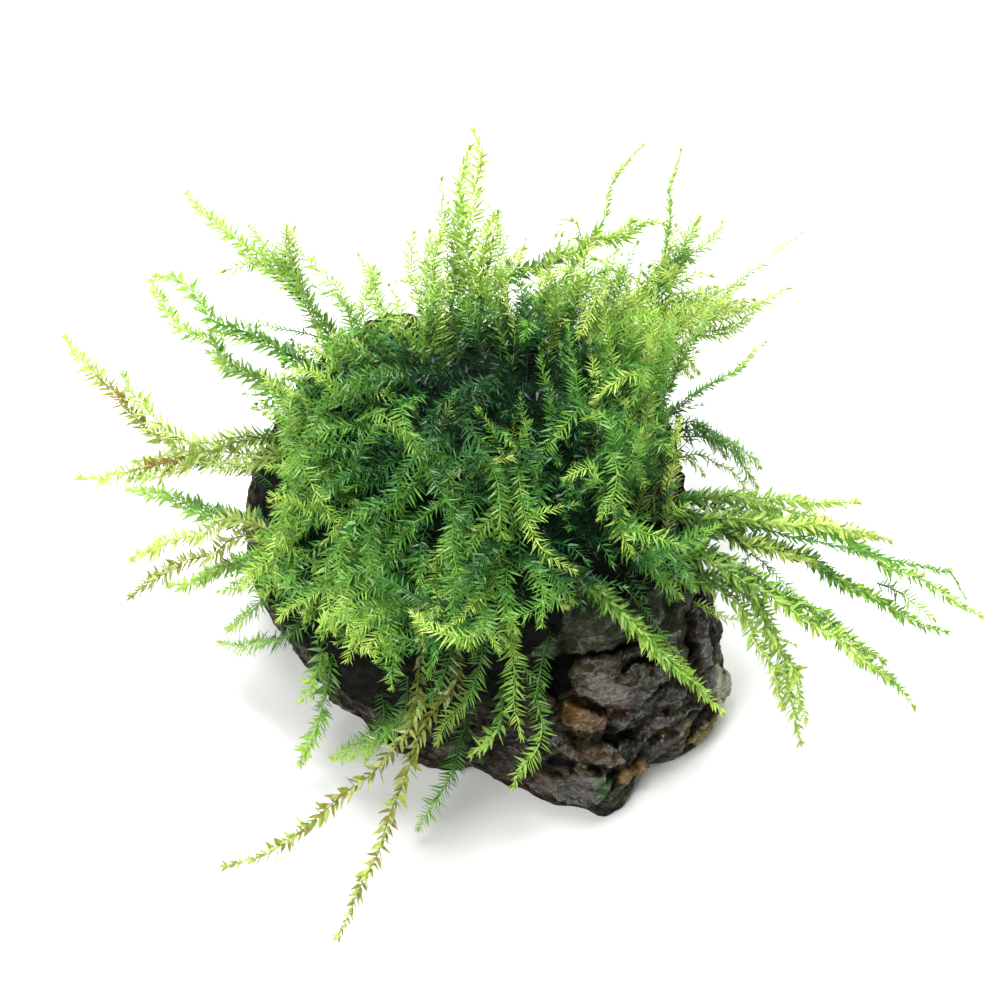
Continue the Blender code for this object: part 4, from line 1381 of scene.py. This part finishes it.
@dataclass
class Leaves:
    """Leaf shapes one unit long, pointed at both ends and keeled below: leaves for both ranks, tip buds."""

    rings: tuple[tuple[float, float], ...] = ((0.20, 0.135), (0.60, 0.095))
    keel: float = 0.045
    shapes: tuple[tuple[float, float], ...] = (     # bend and droop of each
        (0.24, 0.10), (-0.10, 0.06), (0.06, 0.30), (0.12, -0.16))
    bud_leaves: int = 5

    def leaf(self, bend: float, droop: float, side: int) -> bmesh.types.BMesh:
        """Makes one leaf along X that faces Z.

        Args:
            bend: how far its tip bends towards the stem's tip.
            droop: how far its tip drops.
            side: 1 for a leaf on the near side of the stem, -1 for the far side.

        Returns:
            The leaf's mesh.
        """
        mesh = bmesh.new()
        loops = []
        for x, half in self.rings:
            y, z = -side * bend * x * x, -droop * x * x
            loops.append([mesh.verts.new((x, y + half, z)), mesh.verts.new((x, y - half, z)),
                          mesh.verts.new((x, y, z - self.keel))])
        base, tip = mesh.verts.new((0, 0, 0)), mesh.verts.new((1.0, -side * bend, -droop))
        for lower, upper in zip(loops, loops[1:]):
            for i in range(3):
                j = (i + 1) % 3
                mesh.faces.new((lower[j], lower[i], upper[i], upper[j]))
        for i in range(3):
            mesh.faces.new((loops[0][i], loops[0][(i + 1) % 3], base))
            mesh.faces.new((loops[-1][(i + 1) % 3], loops[-1][i], tip))
        bmesh.ops.recalc_face_normals(mesh, faces=mesh.faces)
        return mesh

    def bud(self) -> bmesh.types.BMesh:
        """Makes the bud at a stem's tip: young leaves folded round each other.

        Returns:
            The bud's mesh.
        """
        whole = bmesh.new()
        for i in range(self.bud_leaves):
            young = self.leaf(0.0, -0.12, 1)
            young.transform(Matrix.Diagonal((1.0, 1.2, 1.0, 1.0)))
            turn = Euler((math.radians(360 / self.bud_leaves * i), 0.0, 0.0)).to_matrix().to_4x4()
            tilt = Euler((0.0, math.radians(-22 - 7 * (i % 2)), 0.0)).to_matrix().to_4x4()
            size = 0.85 + 0.1 * (i % 3)
            young.transform(turn @ Matrix.Translation((0, 0, 0.02)) @ tilt @ Matrix.Scale(size, 4))
            made = bpy.data.meshes.new("young_leaf")
            young.to_mesh(made)
            young.free()
            whole.from_mesh(made)
            bpy.data.meshes.remove(made)
        return whole

    def collection(self, name: str, shapes: list[bmesh.types.BMesh]) -> bpy.types.Collection:
        """Keeps shapes for the stem tree to pick from.

        Args:
            name: the collection's name.
            shapes: the meshes, which are freed.

        Returns:
            The collection, outside the scene.
        """
        kept = bpy.data.collections.new(name)
        for i, shape in enumerate(shapes):
            made = bpy.data.meshes.new(f"{name}_{i}")
            shape.to_mesh(made)
            shape.free()
            along = made.attributes.new("along", "FLOAT", "POINT")
            along.data.foreach_set("value", coordinates(made)[:, 0].astype(np.float32))
            kept.objects.link(bpy.data.objects.new(f"{name}_{i}", made))
        return kept

    def collections(self) -> dict[str, bpy.types.Collection]:
        """Makes every shape.

        Returns:
            The collections by the name of the stem tree's input.
        """
        near = [self.leaf(bend, droop, 1) for bend, droop in self.shapes]
        far = [self.leaf(bend, droop, -1) for bend, droop in self.shapes]
        return {"Near Leaves": self.collection("near_leaves", near),
                "Far Leaves": self.collection("far_leaves", far),
                "Buds": self.collection("tip_buds", [self.bud()])}


class LeafyStems:
    """The Geometry Nodes tree that turns lines into stems with two ranks of leaves and a bud at the tip."""

    SOCKETS = (("Near Leaves", "NodeSocketCollection"), ("Far Leaves", "NodeSocketCollection"),
               ("Buds", "NodeSocketCollection"), ("Moss", "NodeSocketMaterial"),
               ("Stem Sides", "NodeSocketInt"), ("Twist", "NodeSocketFloat"), ("Fan", "NodeSocketFloat"),
               ("Size Spread", "NodeSocketFloat"), ("Tone Spread", "NodeSocketFloat"),
               ("Seed", "NodeSocketInt"))

    def __init__(self) -> None:
        """Builds the tree."""
        self.tree = bpy.data.node_groups.new("leafy_stems", "GeometryNodeTree")
        face = self.tree.interface
        face.new_socket("Lines", in_out="INPUT", socket_type="NodeSocketGeometry")
        for name, kind in self.SOCKETS:
            face.new_socket(name, in_out="INPUT", socket_type=kind)
        face.new_socket("Moss", in_out="OUTPUT", socket_type="NodeSocketGeometry")
        self.given = add_node(self.tree, "NodeGroupInput").outputs
        lines = self.node("GeometryNodeMeshToCurve", inputs={0: self.given["Lines"]}).outputs[0]
        round_section = self.node("GeometryNodeCurvePrimitiveCircle", inputs={
            "Resolution": self.given["Stem Sides"], "Radius": 1.0}).outputs[0]
        bare = self.node("GeometryNodeCurveToMesh", inputs={
            "Curve": lines, "Profile Curve": round_section, "Scale": self.named("stem"),
            "Fill Caps": True}).outputs[0]
        spaced = self.node("GeometryNodeResampleCurve", {"mode": "LENGTH"}, {
            "Curve": lines, "Length": self.named("pitch")}).outputs[0]
        half = maths(self.tree, "MULTIPLY", self.named("pitch"), 0.5)
        heading = self.node("GeometryNodeInputTangent").outputs[0]
        step = self.node("ShaderNodeVectorMath", {"operation": "SCALE"}, {
            0: heading, "Scale": half}).outputs[0]
        between = self.node("GeometryNodeSetPosition", inputs={"Geometry": spaced, "Offset": step}).outputs[0]
        near = self.rank(spaced, "Near Leaves", 1, 11)
        far = self.rank(between, "Far Leaves", -1, 23)
        top = self.extra_rank(spaced, 37)
        tips = self.tip_buds(lines)
        joined = self.node("GeometryNodeJoinGeometry")
        for part in (near, far, top, tips):
            self.tree.links.new(part, joined.inputs[0])
        real = self.node("GeometryNodeRealizeInstances", inputs={"Geometry": joined.outputs[0]}).outputs[0]
        whole = self.node("GeometryNodeJoinGeometry")
        for part in (bare, real):
            self.tree.links.new(part, whole.inputs[0])
        dressed = self.node("GeometryNodeSetMaterial", inputs={
            "Geometry": whole.outputs[0], "Material": self.given["Moss"]}).outputs[0]
        self.node("NodeGroupOutput", inputs={0: dressed})

    def node(self, kind: str, settings: dict[str, object] | None = None,
             inputs: Inputs | None = None) -> bpy.types.Node:
        """Adds a node to this tree, as add_node does."""
        return add_node(self.tree, kind, settings, inputs)

    def named(self, name: str, kind: str = "FLOAT") -> bpy.types.NodeSocket:
        """Reads an attribute of the lines by its name."""
        return self.node("GeometryNodeInputNamedAttribute", {"data_type": kind}, {"Name": name}).outputs[0]

    def chance(self, low: object, high: object, offset: int) -> bpy.types.NodeSocket:
        """Draws a number for each leaf.

        Args:
            low: the lowest value, or a socket with it.
            high: the highest value, or a socket with it.
            offset: what is added to the seed, so that draws differ.

        Returns:
            The drawn number.
        """
        seed = maths(self.tree, "ADD", self.given["Seed"], offset)
        return self.node("FunctionNodeRandomValue", {"data_type": "FLOAT"}, {
            2: low, 3: high, 8: seed}).outputs[1]

    def spread(self, name: str, offset: int) -> bpy.types.NodeSocket:
        """Draws a number between minus and plus one of the tree's inputs."""
        minus = maths(self.tree, "MULTIPLY", self.given[name], -1.0)
        return self.chance(minus, self.given[name], offset)

    def turned(self, rotation: bpy.types.NodeSocket, x: object, y: object, z: object) -> bpy.types.NodeSocket:
        """Turns a rotation about its own axes.

        Args:
            rotation: the rotation to turn.
            x: the angle about X, or a socket with it.
            y: the angle about Y.
            z: the angle about Z.

        Returns:
            The turned rotation.
        """
        angles = self.node("ShaderNodeCombineXYZ", inputs={0: x, 1: y, 2: z}).outputs[0]
        by = self.node("FunctionNodeEulerToRotation", inputs={0: angles}).outputs[0]
        return self.node("FunctionNodeRotateRotation", {"rotation_space": "LOCAL"}, {
            0: rotation, 1: by}).outputs[0]

    def stem_frame(self) -> bpy.types.NodeSocket:
        """Gives the rotation with X along the stem and Z the way that its leaves face."""
        heading = self.node("GeometryNodeInputTangent").outputs[0]
        return self.node("FunctionNodeAxesToRotation", {"primary_axis": "X", "secondary_axis": "Z"}, {
            0: heading, 1: self.named("face", "FLOAT_VECTOR")}).outputs[0]

    def placed(self, points: bpy.types.NodeSocket, shapes: str, rotation: bpy.types.NodeSocket, share: float,
               offset: int, selection: bpy.types.NodeSocket | None = None) -> bpy.types.NodeSocket:
        """Puts one shape on each point, with its size and tone varied a little.

        Args:
            points: where they go.
            shapes: the tree's input with the collection to pick from.
            rotation: how each is turned.
            share: the size against a full leaf.
            offset: what is added to the seed.
            selection: which points get one, or all.

        Returns:
            The instances.
        """
        picked = self.node("GeometryNodeCollectionInfo", inputs={
            "Collection": self.given[shapes], "Separate Children": True, "Reset Children": True}).outputs[0]
        vary = maths(self.tree, "MULTIPLY_ADD", self.spread("Size Spread", offset + 1), share, share)
        long = maths(self.tree, "MULTIPLY", self.named("leaf"), vary)
        wide = maths(self.tree, "MULTIPLY", long, self.named("breadth"))
        size = self.node("ShaderNodeCombineXYZ", inputs={0: long, 1: wide, 2: long}).outputs[0]
        which = self.node("FunctionNodeRandomValue", {"data_type": "INT"}, {4: 0, 5: 3, 8: offset}).outputs[2]
        inputs: Inputs = {"Points": points, "Instance": picked, "Pick Instance": True,
                          "Instance Index": which, "Rotation": rotation, "Scale": size}
        if selection is not None:
            inputs["Selection"] = selection
        made = self.node("GeometryNodeInstanceOnPoints", inputs=inputs).outputs[0]
        tone = maths(self.tree, "ADD", self.named("tone"), self.spread("Tone Spread", offset + 2))
        return self.node("GeometryNodeStoreNamedAttribute", {"data_type": "FLOAT", "domain": "INSTANCE"}, {
            "Geometry": made, "Name": "tone", "Value": tone}).outputs[0]

    def rank(self, points: bpy.types.NodeSocket, shapes: str, side: int, offset: int) -> bpy.types.NodeSocket:
        """Makes one of the two ranks of leaves.

        Args:
            points: where the leaves join the stem.
            shapes: the tree's input with the leaves.
            side: 1 for the near rank, -1 for the far one.
            offset: what is added to the seed.

        Returns:
            The leaves.
        """
        open_out = maths(self.tree, "ADD", self.spread("Fan", offset + 3), self.named("angle"))
        angle = maths(self.tree, "MULTIPLY", open_out, float(side))
        lift = self.spread("Fan", offset + 4)
        out = self.turned(self.stem_frame(), 0.0, 0.0, angle)
        return self.placed(points, shapes, self.turned(out, self.spread("Twist", offset + 5), lift, 0.0),
                           1.0, offset)

    def extra_rank(self, points: bpy.types.NodeSocket, offset: int) -> bpy.types.NodeSocket:
        """Makes the smaller leaves that stand on top of the fuller stems.

        Args:
            points: where the leaves join the stem.
            offset: what is added to the seed.

        Returns:
            The leaves.
        """
        some = self.node("FunctionNodeCompare", {"operation": "LESS_THAN"}, {
            0: self.chance(0.0, 1.0, offset + 6), 1: self.named("extra")}).outputs[0]
        about = self.turned(self.stem_frame(), self.chance(-1.3, 1.3, offset + 7), 0.0, 0.0)
        lean = self.chance(-0.95, -0.55, offset + 8)
        return self.placed(points, "Near Leaves", self.turned(about, 0.0, lean, 0.0), 0.78, offset, some)

    def tip_buds(self, lines: bpy.types.NodeSocket) -> bpy.types.NodeSocket:
        """Puts a bud on each stem's last point.

        Args:
            lines: the stems' lines.

        Returns:
            The buds.
        """
        last = self.node("GeometryNodeCurveEndpointSelection", inputs={
            "Start Size": 0, "End Size": 1}).outputs[0]
        return self.placed(lines, "Buds", self.stem_frame(), 1.15, 51, last)

    def apply(self, lines: bpy.types.Object, values: dict[str, object]) -> bpy.types.Mesh:
        """Runs the tree on an object.

        Args:
            lines: the object whose mesh holds the lines.
            values: the tree's inputs by name.

        Returns:
            The result as a plain mesh.
        """
        modifier = lines.modifiers.new("leafy_stems", "NODES")
        modifier.node_group = self.tree
        for item in self.tree.interface.items_tree:
            if item.in_out == "INPUT" and item.name in values:
                modifier[item.identifier] = values[item.name]
        made = bpy.data.meshes.new_from_object(lines.evaluated_get(bpy.context.evaluated_depsgraph_get()))
        lines.modifiers.remove(modifier)
        return made


@dataclass
class MossPiece:
    """One piece of live moss: every stem of its part of the cushion."""

    FIELDS = ("age", "tone", "leaf", "breadth", "angle", "pitch", "stem", "extra")
    part: Part
    stems: list[Stem]
    replaced: tuple[str, ...]
    seed: int
    stem_sides: int = 3

    def lines(self) -> bpy.types.Object:
        """Makes the lines that the stem tree dresses, with what it reads at each point.

        Returns:
            An object whose mesh is one open line for each stem.
        """
        points, edges = [], []
        values: dict[str, list[float]] = {name: [] for name in self.FIELDS}
        faces = []
        for stem in self.stems:
            first, count = sum(len(p) for p in points), len(stem.line)
            points.append(stem.line)
            edges += [(first + i, first + i + 1) for i in range(count - 1)]
            t = np.linspace(0, 1, count)
            growth = stem.growth
            closing = smooth_step(0.80, 1.0, t)
            young = smooth_step(0.0, 0.14, t)
            values["age"] += list(t)
            values["tone"] += list(np.interp(t, (0, 0.55, 1), stem.tones))
            values["leaf"] += list(growth.leaf_mm * MM * (0.7 + 0.3 * young) * (1 - 0.38 * closing))
            values["breadth"] += [growth.breadth] * count
            values["angle"] += list(math.radians(growth.angle_deg) * (1 - 0.45 * closing))
            values["pitch"] += [growth.pitch_mm * MM] * count
            values["stem"] += list(growth.stem_mm * MM * (1 - 0.6 * t))
            values["extra"] += [growth.extra] * count
            faces.append(stem.face)
        mesh = bpy.data.meshes.new(self.part.value + "_lines")
        mesh.from_pydata((np.vstack(points) * MM).tolist(), edges, [])
        for name, column in values.items():
            mesh.attributes.new(name, "FLOAT", "POINT").data.foreach_set(
                "value", np.array(column, np.float32))
        mesh.attributes.new("face", "FLOAT_VECTOR", "POINT").data.foreach_set(
            "vector", np.vstack(faces).astype(np.float32).ravel())
        return new_object(self.part.value + "_lines", mesh)

    def build(self, tree: LeafyStems, shapes: dict[str, bpy.types.Collection],
              moss: bpy.types.Material) -> bpy.types.Object:
        """Builds and dresses the piece.

        Args:
            tree: the stem tree.
            shapes: its leaf collections.
            moss: the leaf material.

        Returns:
            The finished piece.
        """
        lines = self.lines()
        mesh = tree.apply(lines, {
            **shapes, "Moss": moss, "Stem Sides": self.stem_sides, "Twist": 1.0, "Fan": 0.27,
            "Size Spread": 0.22, "Tone Spread": 0.045, "Seed": self.seed})
        source = lines.data
        bpy.data.objects.remove(lines)
        bpy.data.meshes.remove(source)
        self.lay_map(mesh)
        piece = new_object(self.part.value, mesh)
        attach(piece, "root")
        if self.replaced:
            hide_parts(*self.replaced)
        return piece

    def lay_map(self, mesh: bpy.types.Mesh) -> None:
        """Lays every face on the colour map: age along it, tone up it, and some width so that none is a line.

        Args:
            mesh: the leafy stems, whose attributes are read and then removed.
        """
        read = {}
        for name in ("age", "tone", "along"):
            values = np.zeros(len(mesh.vertices), np.float32)
            if name in mesh.attributes:
                mesh.attributes[name].data.foreach_get("value", values)
            read[name] = values
        corners = np.empty(len(mesh.loops), np.int32)
        mesh.loops.foreach_get("vertex_index", corners)
        starts = np.empty(len(mesh.polygons), np.int32)
        mesh.polygons.foreach_get("loop_start", starts)
        turn = np.arange(len(corners)) - np.repeat(starts, np.diff(np.append(starts, len(corners))))
        off_u, off_v = np.array([0, 1, 1, 0])[turn % 4] * 0.004, np.array([0, 0, 1, 1])[turn % 4] * 0.004
        u = 0.01 + 0.93 * read["age"] + 0.04 * read["along"]
        v = 0.01 + 0.97 * np.clip(read["tone"], 0, 1)
        laid = mesh.uv_layers.new(name=BAKE_MAP)
        both = np.stack([u[corners] + off_u, v[corners] + off_v], axis=1)
        laid.data.foreach_set("uv", both.astype(np.float32).ravel())
        for name in [a.name for a in mesh.attributes if a.name in (*self.FIELDS, "face", "along")]:
            mesh.attributes.remove(mesh.attributes[name])


COMPANIONS: dict[tuple[Part, Habit], int] = {  # how many more stems grow beside a measured one
    (Part.RIGHT, Habit.TOOTHED): 2, (Part.RIGHT, Habit.WISP): 1, (Part.BACK, Habit.COMB): 2,
    (Part.BACK, Habit.FULL): 1, (Part.BACK, Habit.WISP): 1, (Part.BACK, Habit.NEEDLE): 1,
    (Part.RIGHT, Habit.NEEDLE): 1, (Part.LEFT, Habit.FULL): 1, (Part.FRONT, Habit.FULL): 1}


def measured_stems() -> dict[Part, list[Stem]]:
    """Makes the stems that were measured on the photograph, and the shorter ones that grow beside them.

    Returns:
        The stems of each part of the cushion.
    """
    made: dict[Part, list[Stem]] = {part: [] for part in Part}
    rng = np.random.default_rng(31)
    for number, row in enumerate(measured_rows(MEASURED)):
        line = curved_line(row.path, 1.2, number)
        face = np.tile(np.array(TOWARDS_LIGHT), (len(line), 1))
        if row.habit is Habit.CLASPED:
            face = np.tile(np.array((0.6, -0.3, 0.8)), (len(line), 1))
        made[row.part].append(Stem(line, row.habit.value, row.tone.value, face))
        for _ in range(COMPANIONS.get((row.part, row.habit), 0)):
            beside = line[:max(5, round(len(line) * rng.uniform(0.45, 0.88)))].copy()
            share = np.linspace(0, 1, len(beside))[:, None]
            beside += rng.normal(0, 1.3, 3) * np.minimum(1, share * 3) + rng.normal(0, 1.5, 3) * share ** 2
            beside[:, 2] = np.maximum(beside[:, 2], 1.6)
            tones = np.array(row.tone.value)
            # painted light: the companions on the right are paler, for the light through the curtain of stems
            # there
            if row.part is Part.RIGHT and row.tone is not Tone.OLIVE:
                tones = tones * 0.45 + np.array(Tone.PALE.value) * 0.55
            tones = np.clip(tones + rng.normal(0.02, 0.06), 0.0, 0.93)
            made[row.part].append(Stem(beside, row.habit.value, tuple(tones.tolist()), face[:len(beside)]))
    return made


# The studio


@dataclass(frozen=True)
class Softbox:
    """A square soft light: where it stands, where it points, its side in metres and its power in watts."""

    name: str
    place: Point
    towards: Point
    side: float
    power: float

    def build(self) -> bpy.types.Object:
        """Builds the light.

        Returns:
            The light, aimed.
        """
        data = bpy.data.lights.new(self.name, "AREA")
        data.shape, data.size, data.energy = "SQUARE", self.side, self.power
        light = bpy.data.objects.new(self.name, data)
        bpy.context.scene.collection.objects.link(light)
        light.location = self.place
        way = Vector(self.towards) - Vector(self.place)
        light.rotation_euler = way.to_track_quat("-Z", "Y").to_euler()
        return light


@dataclass
class Studio:
    """Pale floor, soft lights, a white surround and the camera at the photograph's angle."""

    floor_radius: float = 3.0
    eye: Point = (0.0020, -0.191576, 0.256433)
    elevation_deg: float = 50.0
    lens_mm: float = 70.0
    surround: float = 0.31
    lights: tuple[Softbox, ...] = (
        Softbox("overhead_softbox", (-0.06, 0.10, 0.62), (0.0, 0.0, 0.02), 0.30, 5.7),
        Softbox("front_softbox", (-0.32, -0.42, 0.42), (0.0, 0.0, 0.02), 0.30, 3.6),
        Softbox("back_softbox", (0.12, 0.55, 0.34), (0.0, 0.0, 0.04), 0.35, 3.0))

    def pixels(self, places: np.ndarray) -> np.ndarray:
        """Finds where the camera sees places.

        Args:
            places: the places, in mm, one in each row.

        Returns:
            Across and down the photograph's frame, in pixels, one row for each place.
        """
        tilt = math.radians(self.elevation_deg)
        seen = places - np.array(self.eye) / MM
        depth = seen[:, 1] * math.cos(tilt) - seen[:, 2] * math.sin(tilt)
        rise = seen[:, 1] * math.sin(tilt) + seen[:, 2] * math.cos(tilt)
        focal, middle = FRAME_PX * self.lens_mm / SENSOR_MM, FRAME_PX / 2
        return np.stack((middle + focal * seen[:, 0] / depth, middle - focal * rise / depth), 1)

    def build(self, finish: StudioSweep) -> None:
        """Builds the studio.

        Args:
            finish: the floor's finish.
        """
        mesh = bmesh.new()
        bmesh.ops.create_circle(mesh, cap_ends=True, segments=96, radius=self.floor_radius)
        board = bpy.data.meshes.new("studio_floor")
        mesh.to_mesh(board)
        mesh.free()
        board.transform(Matrix.Translation((0, 0, -0.1 * MM)))
        board.materials.append(finish.material())
        new_object("studio_floor", board)
        for light in self.lights:
            light.build()
        world = bpy.data.worlds.new("white_surround")
        world.use_nodes = True
        background = world.node_tree.nodes["Background"].inputs
        background["Color"].default_value, background["Strength"].default_value = (1, 1, 1, 1), self.surround
        scene = bpy.context.scene
        scene.world = world
        scene.view_settings.view_transform = "Standard"
        data = bpy.data.cameras.new("camera")
        data.lens, data.sensor_width, data.clip_start, data.clip_end = self.lens_mm, SENSOR_MM, 0.01, 20.0
        camera = bpy.data.objects.new("camera", data)
        camera.location = self.eye
        camera.rotation_euler = (math.radians(90 - self.elevation_deg), 0.0, 0.0)
        scene.collection.objects.link(camera)
        scene.camera = camera


def triangles(piece: bpy.types.Object) -> int:
    """Counts a piece's triangles."""
    return sum(len(face.vertices) - 2 for face in piece.data.polygons)


def main() -> None:
    logging.basicConfig(level=logging.INFO, format="%(name)s: %(message)s")
    noise.seed_set(NOISE_SEED)
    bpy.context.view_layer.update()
    Studio().build(StudioSweep())
    for piece in (Stone().build(WetStone()), OldMoss().build(MossMat())):
        LOG.info("%s: %d triangles", piece.name, triangles(piece))
    ground = Ground.from_solids()
    stems = measured_stems()
    for part, more in THATCH.stems(ground).items():
        stems[part] += more
    for more in UNDERGROWTH.stems(ground).values():
        stems[Part.UNDER] += more
    shapes, tree, moss = Leaves().collections(), LeafyStems(), LiveMoss().material()
    plain = Leaves(rings=((0.32, 0.14),)).collections()
    for number, part in enumerate(Part):
        word = part.value.split("_")[1]
        replaced = tuple(n for n in frame["nodes"] if n.startswith(f"shoot_{word}_"))
        piece = MossPiece(part, stems[part], replaced, seed=100 + number).build(
            tree, plain if part is Part.UNDER else shapes, moss)
        LOG.info("%s: %d stems, %d triangles", piece.name, len(stems[part]), triangles(piece))
    for kept in (*shapes.values(), *plain.values()):
        for shape in list(kept.objects):
            bpy.data.objects.remove(shape)
        bpy.data.collections.remove(kept)
    bpy.data.node_groups.remove(tree.tree)


if __name__ == "__main__":
    main()
